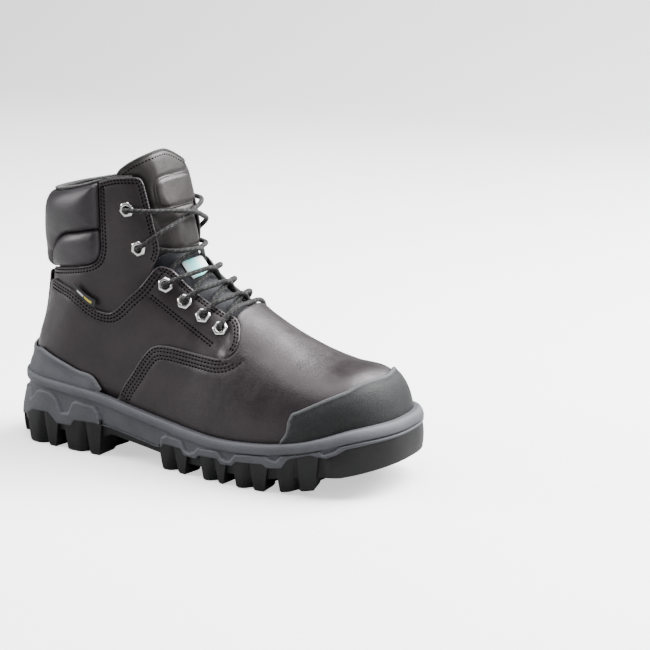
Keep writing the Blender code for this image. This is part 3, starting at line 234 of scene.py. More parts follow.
def height_of(keys, rise=0.0):
    """A height curve over x, raised by an amount."""
    return lambda x: spline(keys, x) + rise


def crossing_phi(s, side, height):
    """Where the section at s comes down to a height curve on one side."""
    phi = np.linspace(0, 1, 241) * side
    p = surface(np.full(241, s), phi)
    gap = p[:, 2] - height(p[:, 0])
    below = np.nonzero(gap < 0)[0]
    if len(below) == 0:
        return float(side)
    k = below[0]
    if k == 0:
        return 0.0
    t = gap[k - 1] / (gap[k - 1] - gap[k])
    return float(phi[k - 1] + t * (phi[k] - phi[k - 1]))


def level_line(side, height, n, s_from=0.0, s_to=1.0):
    """(s, phi) pairs where the surface meets a height curve, from the toe to the heel on one side."""
    limits = []
    for phi, span in ((0.0, (0.0, TOE_SHARE)), (1.0, (0.45, 0.8))):
        s = np.linspace(*span, 1600)
        p = surface(s, np.full(1600, phi))
        limits.append(float(s[np.argmin(np.abs(p[:, 2] - height(p[:, 0])))]))
    low, high = limits
    ease = lambda s: math.acos(max(-1.0, min(1.0, 1 - 2 * (s - low) / (high - low))))
    line = []
    for a in np.linspace(ease(max(s_from, low)), ease(min(s_to, high)), n):
        s = low + (high - low) * (1 - math.cos(a)) / 2
        if s <= low + 1e-5:
            line.append((s, 0.0))
        elif s >= high - 1e-5:
            line.append((s, float(side)))
        else:
            line.append((s, crossing_phi(s, side, height)))
    return np.array(line)


def mirrored(line):
    return np.asarray(line) * (1, -1)


# ---------------------------------------------------------------- materials
class Shader:
    """A procedural material: a Principled shader and short ways to feed it."""

    def __init__(self, name, roughness=0.5, metallic=0.0):
        self.material = bpy.data.materials.new(name)
        self.material.use_nodes = True
        self.tree = self.material.node_tree
        self.main = self.tree.nodes["Principled BSDF"]
        self.main.inputs["Roughness"].default_value = roughness
        self.main.inputs["Metallic"].default_value = metallic
        self.place = self.node("ShaderNodeTexCoord").outputs["Object"]

    def node(self, kind, **settings):
        made = self.tree.nodes.new(kind)
        for key, value in settings.items():
            setattr(made, key, value)
        return made

    def link(self, source, target):
        self.tree.links.new(source, target)

    def noise(self, scale, detail=3.0, roughness=0.5):
        made = self.node("ShaderNodeTexNoise")
        made.inputs["Scale"].default_value = scale
        made.inputs["Detail"].default_value = detail
        made.inputs["Roughness"].default_value = roughness
        self.link(self.place, made.inputs["Vector"])
        return made.outputs["Fac"]

    def cells(self, scale, feature="F1"):
        made = self.node("ShaderNodeTexVoronoi", feature=feature)
        made.inputs["Scale"].default_value = scale
        self.link(self.place, made.inputs["Vector"])
        return made.outputs["Distance"]

    def wave(self, scale, direction, distortion=0.0):
        made = self.node("ShaderNodeTexWave", bands_direction=direction)
        made.inputs["Scale"].default_value = scale
        made.inputs["Distortion"].default_value = distortion
        self.link(self.place, made.inputs["Vector"])
        return made.outputs["Fac"]

    def attribute(self, name):
        return self.node("ShaderNodeAttribute", attribute_name=name).outputs["Fac"]

    def math(self, operation, a, b):
        made = self.node("ShaderNodeMath", operation=operation)
        for slot, value in zip(made.inputs, (a, b)):
            if isinstance(value, (int, float)):
                slot.default_value = value
            else:
                self.link(value, slot)
        return made.outputs[0]

    def ramp(self, factor, stops):
        made = self.node("ShaderNodeValToRGB")
        elements = made.color_ramp.elements
        while len(elements) < len(stops):
            elements.new(0.5)
        for element, (position, value) in zip(elements, stops):
            element.position = position
            element.color = (*value, 1.0) if isinstance(value, tuple) else (value, value, value, 1.0)
        self.link(factor, made.inputs["Fac"])
        return made.outputs["Color"]

    def mix(self, factor, a, b):
        made = self.node("ShaderNodeMix", data_type="RGBA")
        for slot, value in ((0, factor), (6, a), (7, b)):
            if isinstance(value, tuple):
                made.inputs[slot].default_value = (*value, 1.0)
            elif isinstance(value, (int, float)):
                made.inputs[slot].default_value = value
            else:
                self.link(value, made.inputs[slot])
        return made.outputs[2]

    def colour(self, source):
        self.link(source, self.main.inputs["Base Color"])

    def rough(self, source):
        self.link(source, self.main.inputs["Roughness"])

    def bump(self, height, distance, strength=1.0, below=None):
        made = self.node("ShaderNodeBump")
        made.inputs["Strength"].default_value = strength
        made.inputs["Distance"].default_value = distance * MM
        self.link(height, made.inputs["Height"])
        if below:
            self.link(below, made.inputs["Normal"])
        self.link(made.outputs["Normal"], self.main.inputs["Normal"])
        return made.outputs["Normal"]


def leather(name, dark, light, wear_and_highlight_colour, roughness=(0.36, 0.5)):
    """Smooth leather: cloudy tone, fine grain, and cut edges in a paler colour, partly wear and partly a
    painted highlight.
    """
    m = Shader(name)
    patches = m.noise(38, 4)
    tone = m.ramp(patches, ((0.35, dark), (0.68, light)))
    # The paler edge colour mixed in by this attribute is partly wear and partly a painted highlight on the
    # edges.
    m.colour(m.mix(m.attribute("wear_and_highlight"), tone, wear_and_highlight_colour))
    m.rough(m.ramp(m.noise(90, 3), ((0.3, roughness[0]), (0.7, roughness[1]))))
    grain = m.math("ADD", m.math("MULTIPLY", m.cells(1100), 0.8), m.math("MULTIPLY", m.noise(2600, 2), 0.5))
    m.bump(grain, 0.12, 0.55, below=m.bump(m.noise(150, 3), 0.5, 0.35))
    m.main.inputs["Specular IOR Level"].default_value = 0.36
    m.main.inputs["Specular Tint"].default_value = (1.0, 0.93, 0.95, 1.0)
    return m.material


def rubber(name, dark, light, wear_and_highlight_colour, stipple, roughness=(0.55, 0.72), shine=0.4):
    """Moulded rubber: speckled tone, a fine stipple this deep, and pale edges, partly wear and partly a
    painted highlight.
    """
    m = Shader(name)
    speck = m.noise(1500, 2)
    tone = m.ramp(m.math("ADD", m.math("MULTIPLY", speck, 0.6), m.math("MULTIPLY", m.noise(60, 3), 0.4)),
                  ((0.38, dark), (0.62, light)))
    # The pale edge colour mixed in by this attribute is partly wear and partly a painted highlight on the
    # edges.
    m.colour(m.mix(m.attribute("wear_and_highlight"), tone, wear_and_highlight_colour))
    m.rough(m.ramp(speck, ((0.3, roughness[0]), (0.7, roughness[1]))))
    m.bump(m.math("ADD", speck, m.cells(1900)), stipple, 0.7)
    m.main.inputs["Specular IOR Level"].default_value = shine
    return m.material


def cloth(name, dark, light, threads=900, depth=0.25, sheen=0.25):
    m = Shader(name, 0.9)
    weave = m.math("MULTIPLY", m.wave(threads, "X"), m.wave(threads, "Z"))
    m.colour(m.mix(weave, dark, light))
    m.rough(m.ramp(m.noise(200), ((0.3, 0.8), (0.7, 0.95))))
    m.bump(m.math("ADD", weave, m.math("MULTIPLY", m.noise(2500), 0.4)), depth, 0.8)
    m.main.inputs["Sheen Weight"].default_value = sheen
    m.main.inputs["Specular IOR Level"].default_value = 0.8 * sheen
    m.main.inputs["Sheen Roughness"].default_value = 0.5
    return m.material


def metal(name, colour, roughness, brushed=False):
    m = Shader(name, roughness[0], 1.0)
    m.colour(m.ramp(m.noise(120, 4), ((0.3, tuple(0.86 * c for c in colour)), (0.7, colour))))
    scratches = m.noise(1400, 4, 0.7) if not brushed else m.wave(2200, "Y", 3.0)
    m.rough(m.ramp(scratches, ((0.3, roughness[0]), (0.75, roughness[1]))))
    m.bump(scratches, 0.02, 0.4)
    return m.material


def board(name, dark, light):
    m = Shader(name, 0.9)
    fibre = m.noise(700, 5, 0.7)
    m.colour(m.ramp(fibre, ((0.35, dark), (0.65, light))))
    m.bump(fibre, 0.15, 0.7)
    return m.material


def lace_braid():
    """Black yarn with pale flecks."""
    m = Shader("lace_braid", 0.8)
    yarn = m.ramp(m.noise(900), ((0.35, (0.0035, 0.0035, 0.0037)), (0.7, (0.011, 0.0106, 0.0106))))
    m.colour(m.mix(m.attribute("fleck"), yarn, (0.14, 0.14, 0.137)))
    m.bump(m.noise(3000, 2), 0.15, 0.8)
    m.main.inputs["Sheen Weight"].default_value = 0.06
    m.main.inputs["Specular IOR Level"].default_value = 0.25
    return m.material


def printed_label():
    """A woven label with plain blocks of teal, grey and white."""
    m = Shader("label_print", 0.55)
    across = m.attribute("across")
    blocks = m.ramp(across, ((0.0, (0.12, 0.13, 0.135)), (0.3, (0.02, 0.36, 0.36)), (0.52, (0.18, 0.62, 0.6)),
                             (0.74, (0.75, 0.78, 0.78))))
    m.colour(m.mix(m.math("MULTIPLY", m.noise(1200), 0.25), blocks, (0.3, 0.33, 0.33)))
    m.bump(m.math("MULTIPLY", m.wave(1300, "Y"), m.wave(1300, "Z")), 0.1, 0.5)
    return m.material


# The last colour of each leather and rubber is its pale edge colour: partly wear, partly painted highlight.
BLACK_LEATHER = leather("black_leather", (0.0066, 0.0048, 0.0055), (0.0132, 0.0100, 0.0115),
                        (0.030, 0.026, 0.028))
PAD_LEATHER = leather("pad_leather", (0.0090, 0.0086, 0.0098), (0.0180, 0.0171, 0.0190),
                      (0.03, 0.028, 0.03), (0.38, 0.5))
TONGUE_LEATHER = leather("tongue_leather", (0.0075, 0.0062, 0.006), (0.015, 0.0125, 0.0122),
                         (0.036, 0.031, 0.03))
GREY_RUBBER = rubber("grey_rubber", (0.036, 0.0375, 0.043), (0.056, 0.058, 0.066),
                     (0.105, 0.108, 0.118), 0.14, shine=0.28)
GUARD_RUBBER = rubber("guard_rubber", (0.0065, 0.0067, 0.007), (0.016, 0.0165, 0.0175),
                      (0.075, 0.078, 0.081), 0.2, (0.46, 0.62), 0.18)
BLACK_RUBBER = rubber("black_rubber", (0.0042, 0.0042, 0.0046), (0.0085, 0.0085, 0.0092),
                      (0.03, 0.03, 0.032), 0.08, (0.42, 0.6), 0.22)
LINING_CLOTH = cloth("lining_cloth", (0.003, 0.003, 0.0035), (0.015, 0.015, 0.016))
NAVY_CLOTH = cloth("gusset_cloth", (0.0025, 0.003, 0.006), (0.012, 0.015, 0.024), 1100)
TAPE = cloth("binding_tape", (0.0015, 0.0015, 0.0016), (0.006, 0.006, 0.0065), 1500)
FOOTBED_CLOTH = cloth("footbed_cloth", (0.008, 0.008, 0.009), (0.03, 0.03, 0.032), 700)
THREAD = cloth("thread", (0.0006, 0.0006, 0.0008), (0.0024, 0.0022, 0.0024), 3000, 0.05, 0.02)
NICKEL = metal("nickel", (0.62, 0.61, 0.6), (0.16, 0.32))
STEEL = metal("pressed_steel", (0.45, 0.45, 0.46), (0.3, 0.5), True)
FIBRE_BOARD = board("fibre_board", (0.2, 0.15, 0.1), (0.4, 0.32, 0.22))
LACE_BRAID = lace_braid()
LABEL_PRINT = printed_label()


# ---------------------------------------------------------------- meshes
def add_mesh(name, points, faces, mat, attributes=None, smooth_angle=50.0):
    """An object from points in millimetres, with optional point attributes by name."""
    mesh = bpy.data.meshes.new(name)
    mesh.from_pydata((np.asarray(points, float) * MM).tolist(), [], [tuple(f) for f in faces])
    for key, values in (attributes or {}).items():
        mesh.attributes.new(key, "FLOAT", "POINT").data.foreach_set("value", np.asarray(values, np.float32))
    mesh.shade_smooth()
    mesh.set_sharp_from_angle(angle=math.radians(smooth_angle))
    mesh.materials.append(mat)
    obj = bpy.data.objects.new(name, mesh)
    bpy.context.scene.collection.objects.link(obj)
    return obj


def grid_faces(rows, columns, closed=False, start=0):
    """Quads over a grid of points, row by row. A closed grid joins its last column to its first."""
    faces = []
    for r in range(rows - 1):
        for c in range(columns if closed else columns - 1):
            a, b = start + r * columns + c, start + r * columns + (c + 1) % columns
            faces.append((a, b, b + columns, a + columns))
    return faces


class Parts:
    """Several closed bodies gathered into one mesh."""

    def __init__(self):
        self.points, self.faces, self.values, self.count = [], [], [], 0

    def add(self, points, faces, values=None):
        self.points.append(points)
        self.faces += [tuple(k + self.count for k in f) for f in faces]
        self.values.append(np.zeros(len(points)) if values is None else values)
        self.count += len(points)

    # By default the attribute holds the pale edge share: partly wear, partly painted highlight.
    def build(self, name, mat, attribute="wear_and_highlight", smooth_angle=50.0):
        values = {attribute: np.concatenate(self.values)}
        return add_mesh(name, np.concatenate(self.points), self.faces, mat, values, smooth_angle)


# The flat pattern in which outlines are cut, about one millimetre to a unit
S_SCALE, PHI_SCALE, TOE_STRETCH, TOE_REACH = 300.0, 165.0, 50.0, 0.05
WARP_S = np.linspace(-0.1, 1.1, 2401)
WARP = S_SCALE * WARP_S + TOE_STRETCH * (1 - np.exp(-np.maximum(WARP_S, 0) / TOE_REACH))


def flat(line):
    s, phi = np.array(line, float).T
    return np.stack([np.interp(s, WARP_S, WARP), phi * PHI_SCALE], 1)


def unflat(points):
    return np.stack([np.interp(points[:, 0], WARP, WARP_S), points[:, 1] / PHI_SCALE], 1)


def inside(points, loop):
    """Which of the points lie inside the closed loop."""
    x, y = points[:, 0][:, None], points[:, 1][:, None]
    a, b = loop, np.roll(loop, -1, axis=0)
    rise = np.where(np.abs(b[:, 1] - a[:, 1]) < 1e-12, 1e-12, b[:, 1] - a[:, 1])
    crosses = ((a[:, 1] > y) != (b[:, 1] > y)) & (x < (b[:, 0] - a[:, 0]) * (y - a[:, 1]) / rise + a[:, 0])
    return crosses.sum(1) % 2 == 1


def distance_to(points, line, closed=False):
    """Distance of each point to a line of points."""
    a = line if closed else line[:-1]
    b = np.roll(line, -1, axis=0) if closed else line[1:]
    best = np.full(len(points), 1e9)
    for start in range(0, len(points), 2000):
        q = points[start:start + 2000, None]
        ab = (b - a)[None]
        t = np.clip(((q - a) * ab).sum(-1) / np.maximum((ab**2).sum(-1), 1e-12), 0, 1)[..., None]
        best[start:start + 2000] = np.linalg.norm(q - (a + t * ab), axis=-1).min(1)
    return best


def resampled(line, step, closed=False):
    """(s, phi) pairs at equal steps in millimetres on the surface."""
    line = np.asarray(line, float)
    if closed:
        line = np.vstack([line, line[:1]])
    length = arc_length(surface(line[:, 0], line[:, 1]))
    count = max(3, int(length[-1] / step) + 1)
    want = np.linspace(0, length[-1], count)
    fine = np.stack([np.interp(want, length, line[:, k]) for k in range(2)], 1)
    return fine[:-1] if closed else fine


def shifted(line, distance, closed=False):
    """The line moved sideways over the surface by a distance in millimetres."""
    s, phi = np.asarray(line, float).T
    step = 1e-3
    here = surface(s, phi)
    ds, dp = (surface(s + step, phi) - here) / step, (surface(s, phi + step) - here) / step
    if closed:
        along = np.roll(here, -2, axis=0) - np.roll(here, 2, axis=0)
    else:
        along = np.gradient(here, axis=0)
    across = np.cross(normal_at(s, phi), along)
    across *= distance / np.maximum(np.linalg.norm(across, axis=1, keepdims=True), 1e-9)
    a, b, c = (ds * ds).sum(1), (ds * dp).sum(1), (dp * dp).sum(1)
    u, v = (across * ds).sum(1), (across * dp).sum(1)
    det = a * c - b * b
    return np.stack([s + (c * u - b * v) / det, phi + (a * v - b * u) / det], 1)


def inset(run, distance, outline):
    """The run moved into the outline by a distance."""
    run = resampled(run, 1.2)
    moved = shifted(run, distance)
    keep = inside(flat(moved), flat(outline))
    other = shifted(run, -distance)
    return moved if keep.mean() > inside(flat(other), flat(outline)).mean() else other


def joined(*runs):
    """One outline from several runs of (s, phi) pairs, without repeated points."""
    loop = []
    for point in np.vstack(runs):
        if not loop or np.abs(point - loop[-1]).max() > 2e-4:
            loop.append(point)
    if np.abs(loop[0] - loop[-1]).max() < 2e-4:
        loop.pop()
    return np.array(loop)


RIM_STEPS = (0.35, 0.9, 1.6, 2.4, 3.4, 4.6)      # extra points inside a panel's edge, for its rounded profile


def cut_pattern(outline, spacing, holes=(), lines=()):
    """Triangles over an outline in (s, phi): its edge, rims inside the edge, the lines, and a lattice."""
    border = resampled(outline, 0.8 * spacing, True)
    loops = [flat(border)] + [flat(h) for h in holes]
    edge = surface(border[:, 0], border[:, 1])
    chosen = []

    def keep(candidates, clear):
        candidates = candidates[inside(flat(candidates), loops[0])]
        for hole in loops[1:]:
            candidates = candidates[~inside(flat(candidates), hole)]
        p = surface(candidates[:, 0], candidates[:, 1])
        good = distance_to(p, edge, True) > clear
        for hole in holes:
            good &= distance_to(p, surface(hole[:, 0], hole[:, 1]), True) > 0.45
        if sum(len(c) for c in chosen) and len(p):
            placed = np.vstack(chosen)
            placed = surface(placed[:, 0], placed[:, 1])
            for k in range(0, len(p), 1500):
                near = np.linalg.norm(p[k:k + 1500, None] - placed[None], axis=-1).min(1)
                good[k:k + 1500] &= near > 0.42 * spacing if clear > 0.4 * spacing else near > 0.3
        chosen.append(candidates[good])

    for step in RIM_STEPS:
        for sign in (1, -1):
            keep(shifted(border, sign * step, True), 0.9 * step)
    for line in lines:
        for step in (0.0, 0.75, -0.75):
            keep(shifted(resampled(line, 1.0), step), 0.3)
    low, high = loops[0].min(0), loops[0].max(0)
    lattice = np.stack(np.meshgrid(np.arange(low[0], high[0], spacing),
                                   np.arange(low[1], high[1], spacing), indexing="ij"), -1).reshape(-1, 2)
    keep(unflat(lattice), RIM_STEPS[-1] + 0.4 * spacing)
    edges, start = [], 0
    for loop in loops:
        n = len(loop)
        edges += [(start + k, start + (k + 1) % n) for k in range(n)]
        start += n
    points = np.vstack(loops + [flat(c) for c in chosen])
    verts, _, faces, *_ = delaunay_2d_cdt([Vector(p) for p in points], edges, [], 0, 1e-7)
    verts = np.array([(v[0], v[1]) for v in verts])
    faces = np.array(faces)
    middles = verts[faces].mean(1)
    good = inside(middles, loops[0])
    for hole in loops[1:]:
        good &= ~inside(middles, hole)
    return unflat(verts), faces[good], border


def groove(distance, depth, width):
    """A soft rise or channel at distance 0."""
    return depth * np.exp(-((distance / width) ** 2))


def panel(name, outline, level, mat, spacing=2.6, holes=(), stitched=(), relief=None, round_edge=0.9,
          bead=0.0, lift=None):
    """A leather panel: rounded edges, a sewn groove under each row of stitches, and optional relief."""
    pattern, faces, border = cut_pattern(outline, spacing, holes, stitched)
    s, phi = pattern.T
    base = surface(s, phi)
    depth = distance_to(base, surface(border[:, 0], border[:, 1]), True)
    over = np.full(len(s), float(level[1]))
    over -= round_edge - np.sqrt(np.maximum(round_edge**2 - np.maximum(round_edge - depth, 0) ** 2, 0))
    over += groove(depth - 1.2, bead, 0.7)
    for row in stitched:
        over -= groove(distance_to(base, surface(row[:, 0], row[:, 1])), 0.42, 0.75)
    if relief:
        over += relief(s, phi, base, depth)
    rise = lift(s, phi) if lift else np.zeros(len(s))
    # Paler band along the cut edge: partly wear, partly a painted highlight where the edge catches light.
    wear_and_highlight = np.exp(-((depth / 0.9) ** 2))
    return thick(name, pattern, faces, level[0] + rise, over + rise, mat, wear_and_highlight)


def thick(name, pattern, faces, under, over, mat, wear_and_highlight):
    """A closed sheet over a cut pattern, between two distances from the base surface."""
    s, phi = pattern.T
    n = len(s)
    faces = [tuple(int(k) for k in f) for f in faces]
    sides = dict.fromkeys((a, b) for f in faces for a, b in zip(f, f[1:] + f[:1]))
    rim = [(b, a, a + n, b + n) for a, b in sides if (b, a) not in sides]
    points = np.concatenate([surface(s, phi, over), surface(s, phi, under)])
    probe = faces[len(faces) // 2]
    a, b, c = points[list(probe[:3])]
    outward = np.cross(b - a, c - a) @ normal_at(*pattern[probe[0]])
    every = faces + [tuple(k + n for k in f[::-1]) for f in faces] + rim
    if outward < 0:
        every = [f[::-1] for f in every]
    # The attribute holds the paler edge band on the top face: partly wear, partly painted highlight.
    return add_mesh(name, points, every, mat, {"wear_and_highlight": np.concatenate([wear_and_highlight, np.zeros(n)])})


# ---------------------------------------------------------------- how the pieces follow the joints
def flex_toe(obj):
    """For the pieces that cross the ball of the foot, from the foot to the toe: bakes the placement into the
    mesh.
    """
    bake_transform(obj)


def flex_ankle(obj):
    """For the pieces that cross the ankle, from the foot to the shaft: bakes the placement into the mesh."""
    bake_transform(obj)


def riding(body):
    return lambda obj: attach(obj, body)


def fit(obj, follow, node):
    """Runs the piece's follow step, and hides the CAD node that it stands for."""
    follow(obj)
    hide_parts(node)


# ---------------------------------------------------------------- stitches
STITCH_PITCH, STITCH_LENGTH, THREAD_RADIUS = 2.7, 2.0, 0.42
STITCH_SUNK = 0.1             # the thread lies this far under the leather's face


def sew(parts, line, offset):
    """Stitches along a line of (s, phi) pairs, on leather whose face is at this offset."""
    known = arc_length(surface(*line.T))
    offset = np.broadcast_to(np.asarray(offset, float), (len(line),))
    line, given = resampled(line, 0.6), (known, offset)
    p = surface(line[:, 0], line[:, 1])
    length = arc_length(p)
    share = np.array([0.0, 0.12, 0.35, 0.65, 0.88, 1.0])
    radius = THREAD_RADIUS * np.array([0.35, 0.8, 1.0, 1.0, 0.8, 0.35])
    lift = np.array([-0.5, -0.2, 0.02, 0.02, -0.2, -0.5])
    turns = np.linspace(0, 2 * math.pi, 7)[:-1]
    for start in np.arange(0.4, length[-1] - STITCH_LENGTH, STITCH_PITCH):
        at = start + share * STITCH_LENGTH
        s, phi = np.interp(at, length, line[:, 0]), np.interp(at, length, line[:, 1])
        up = normal_at(s, phi)
        centre = surface(s, phi) + up * (np.interp(at, *given) + lift)[:, None]
        along = np.gradient(centre, axis=0)
        side = np.cross(along, up)
        side /= np.linalg.norm(side, axis=1, keepdims=True)
        rings = [centre + radius[:, None] * (1.15 * math.cos(a) * side + 0.8 * math.sin(a) * up)
                 for a in turns]
        points = np.stack(rings, 1).reshape(-1, 3)
        faces = grid_faces(len(share), len(turns), True)
        last = (len(share) - 1) * len(turns)
        faces += [tuple(range(len(turns)))[::-1], tuple(last + k for k in range(len(turns)))]
        parts.add(points, faces)


# ---------------------------------------------------------------- the sole
SIDES = ((-1, "lateral"), (1, "medial"))
RING = 720                    # points round a sole ring
WALL_OUT = 9.0                # the side wall stands this far out from the base surface
TOE_REACH_OUT, HEEL_FLARE = 4.5, 4.5
RIM_TALL = 7.0
# The stepped panels' top line on the side wall, as (x, z): up over each lug, down between lugs
STEP_LINE = ((-60, 34.0), (-30, 37.6), (-26.6, 38.3), (-23.1, 31.0), (-17.5, 38.0), (-13.2, 39.6),
             (-3.2, 39.5), (2.4, 35.9), (7.3, 26.2), (13.3, 26.8), (17.5, 35.0), (20.7, 36.8), (36.9, 35.2),
             (40.4, 31.6), (41.7, 25.7), (42.6, 14.0), (93.0, 10.0), (95.7, 22.4), (100.2, 25.3),
             (113.9, 23.9), (117.0, 17.7), (121.1, 16.2), (125.7, 18.3), (128.9, 21.7), (146.1, 22.7),
             (149.6, 18.5), (153.1, 17.2), (156.4, 17.7), (160.7, 22.9), (183.4, 26.0), (186.5, 23.8),
             (191.6, 22.6), (196.4, 27.8), (204.3, 30.7), (215.9, 34.2), (221.4, 34.0), (225.0, 31.3),
             (230.7, 33.9), (234.1, 37.6), (242.0, 39.8), (256.0, 41.0), (290.0, 41.0))
# Where the grey midsole ends and the black outsole starts, on the side wall
FOOT_LINE = ((-60, 14.5), (-39, 15.5), (-33.7, 16.5), (-24.7, 20.4), (-20.1, 24.3), (-5.3, 25.1),
             (-1.2, 21.7), (3.0, 18.1), (16.2, 18.6), (18.9, 23.0), (36.5, 23.8), (53.6, 21.9), (90.4, 15.4),
             (95.5, 15.8), (98.0, 18.6), (113.5, 18.4), (116.5, 14.2), (127.0, 14.0), (130.0, 16.8),
             (145.5, 17.6), (149.0, 14.3), (158.0, 14.9), (161.5, 18.2), (182.0, 19.6), (185.4, 17.3),
             (195.4, 18.4), (199.5, 24.2), (202.3, 25.9), (215.9, 30.0), (226.6, 28.9), (232.3, 31.7),
             (237.0, 35.4), (246.0, 37.6), (256.0, 39.0), (290.0, 39.0))


def foot_height(x):
    """Where the midsole's side wall ends and the outsole starts."""
    return np.interp(x, *np.array(FOOT_LINE, float).T)


def rim_ring():
    """Evenly spaced (x, y) points where the upper meets the sole's rim, and their outward directions."""
    height = height_of(FEATHER)
    line = np.vstack([level_line(-1, height, 260), level_line(1, height, 260)[-2:0:-1]])
    p = surface(line[:, 0], line[:, 1])[:, :2]
    ring = evenly(np.vstack([p, p[:1]]), RING + 1)[:-1]
    along = np.roll(ring, -4, axis=0) - np.roll(ring, 4, axis=0)
    out = np.stack([-along[:, 1], along[:, 0]], 1)
    out /= np.linalg.norm(out, axis=1, keepdims=True)
    if (out * (ring - ring.mean(0))).sum() < 0:
        out = -out
    return ring, out


RING_AT, RING_OUT = rim_ring()
RING_X = RING_AT[:, 0] + RING_OUT[:, 0] * WALL_OUT


def wall_reach(x, drop):
    """How far the side wall stands out, at x and this far below the rim."""
    toe = TOE_REACH_OUT * smoothstep(200, 246, x) * smoothstep(0, 14, drop + 6)
    heel = HEEL_FLARE * smoothstep(5, -32, x) * smoothstep(4, 34, drop)
    return WALL_OUT + toe + heel


def ring_points(height, reach, extra=0.0):
    """A ring of sole points at height(x). It stands out by reach, or by wall_reach plus extra."""
    z = height(RING_X)
    if reach is None:
        reach = wall_reach(RING_X, spline(FEATHER, RING_X) - z) + extra
    xy = RING_AT + RING_OUT * np.broadcast_to(reach, (RING,))[:, None]
    return np.c_[xy, z]


def across_caps(ring, start):
    """Faces that close a ring with rungs across the boot."""
    faces = []
    for k in range(ring // 2):
        across = (ring - k - 1) % ring, (ring - k) % ring
        corners = dict.fromkeys(start + c for c in (k, k + 1, *across))
        if len(corners) > 2:
            faces.append(tuple(corners))
    return faces


def stacked_rings(count):
    """Faces of a closed body made of sole rings."""
    ends = across_caps(RING, 0) + [f[::-1] for f in across_caps(RING, (count - 1) * RING)]
    return grid_faces(count, RING, True) + ends


def step_distance(x, z, line):
    """Signed distance of wall points to a side view line, positive below it."""
    line = np.array(line, float)
    p = np.stack([x, z], 1)
    return distance_to(p, line) * np.where(z < np.interp(x, *line.T), 1, -1)


def midsole():
    """The grey cup: a side wall with stepped panels, a rim round the upper, and a recess for the foot."""
    rim = lambda rise: height_of(FEATHER, rise)
    crease = RIM_TALL + 1.1
    rows, wear_and_highlight = [], []

    # light is how much a ring takes the pale edge colour: partly wear, partly a painted highlight on edges
    # that catch light.
    def row(height, reach=None, extra=0.0, light=0.0):
        rows.append(ring_points(height, reach, extra))
        wear_and_highlight.append(np.broadcast_to(light, (RING,)))

    row(lambda at: foot_height(at) + 1.5, 6.0)
    row(lambda at: foot_height(at) + 0.2, None, -0.9)
    row(foot_height, None, 0.1, 0.1)
    count = 30
    for k in range(count + 1):
        t = k / count
        height = lambda at, t=t: (foot_height(at) + 0.35) * (1 - t) + (spline(FEATHER, at) - crease) * t
        z = height(RING_X)
        d = step_distance(RING_X, z, STEP_LINE)
        raised = smoothstep(-0.5, 0.45, d)
        lip = groove(d - 0.5, 0.35, 0.5)
        edge = smoothstep(0.0, 0.7, z - foot_height(RING_X))
        reach = -1.35 + 1.75 * raised + 0.55 * lip - 0.35 * (1 - edge)
        # Painted highlight, partly wear, along the stepped panels' raised top lip.
        row(height, None, reach, 0.6 * groove(d - 0.45, 1.0, 0.6))
    row(rim(-RIM_TALL - 0.5), None, -1.3)
    profile = ((-RIM_TALL, 0.1), (-RIM_TALL + 0.4, 0.65), (-RIM_TALL + 1.2, 0.95), (-RIM_TALL / 2, 1.1),
               (-1.6, 0.95), (-0.8, 0.7), (-0.2, 0.15), (0.05, -0.6), (0.0, -1.6))
    # The rim's top band is painted paler: partly wear, partly a painted highlight.
    for rise, extra in profile:
        row(rim(rise), None, extra, 0.35 if -1.7 < rise < -0.1 else 0.1)
    row(rim(-0.1), LEVEL_3[1] + 0.5)
    row(rim(-5.0), LEVEL_3[1] + 0.3)
    row(rim(-7.0), 0.5)
    row(height_of(FLOOR), -1.5)
    wear_and_highlight = {"wear_and_highlight": np.concatenate(wear_and_highlight)}
    return add_mesh("midsole_shell", np.concatenate(rows), stacked_rings(len(rows)), GREY_RUBBER, wear_and_highlight, 60)


HEEL_TREAD, FORE_TREAD, SPRING_START_X, SPRING_END_X, TOE_SPRING = 13.0, 8.0, 180.0, 262.0, 19.0
TREAD_KEYS = ((-60, HEEL_TREAD), (40, HEEL_TREAD), (50, 16.5), (92, 10.5), (97, FORE_TREAD),
              (SPRING_START_X, FORE_TREAD), (222, FORE_TREAD + 6.5), (234, 15.0),
              (SPRING_END_X, TOE_SPRING + 2.5))
# The lugs at the edge of the tread on each side, as (x from, x to, flute x, depth inwards)
SIDE_LUGS = ((-46.0, -38.0, None, 13.0), (-23.0, 1.5, -10.0, 21.0), (12.0, 41.0, 28.0, 21.0),
             (96.0, 117.0, 106.0, 17.0), (133.0, 151.0, 142.0, 17.0), (161.0, 183.5, 171.0, 18.0),
             (194.0, 219.5, 205.0, 19.0))
# Rows of middle blocks across the tread, as (x from, x to, lean of their ends)
MIDDLE_ROWS = ((-20.0, -2.0, 3.0), (14.0, 38.0, 3.0), (98.0, 107.0, 0.0), (109.0, 118.0, 0.0),
               (131.0, 148.0, 6.0), (158.0, 178.0, 6.0), (189.0, 208.0, 7.0))
MIDDLE_SHARES = ((-0.33, -0.03), (0.03, 0.33))


def tread_height(x):
    """The tread's underside between the lugs."""
    return np.interp(x, *np.array(TREAD_KEYS, float).T)


def ground_height(x):
    """The lugs' lower faces: flat on the ground, then rising to the toe."""
    t = np.clip((x - SPRING_START_X) / (SPRING_END_X - SPRING_START_X), 0, 1)
    return TOE_SPRING * t ** 1.6


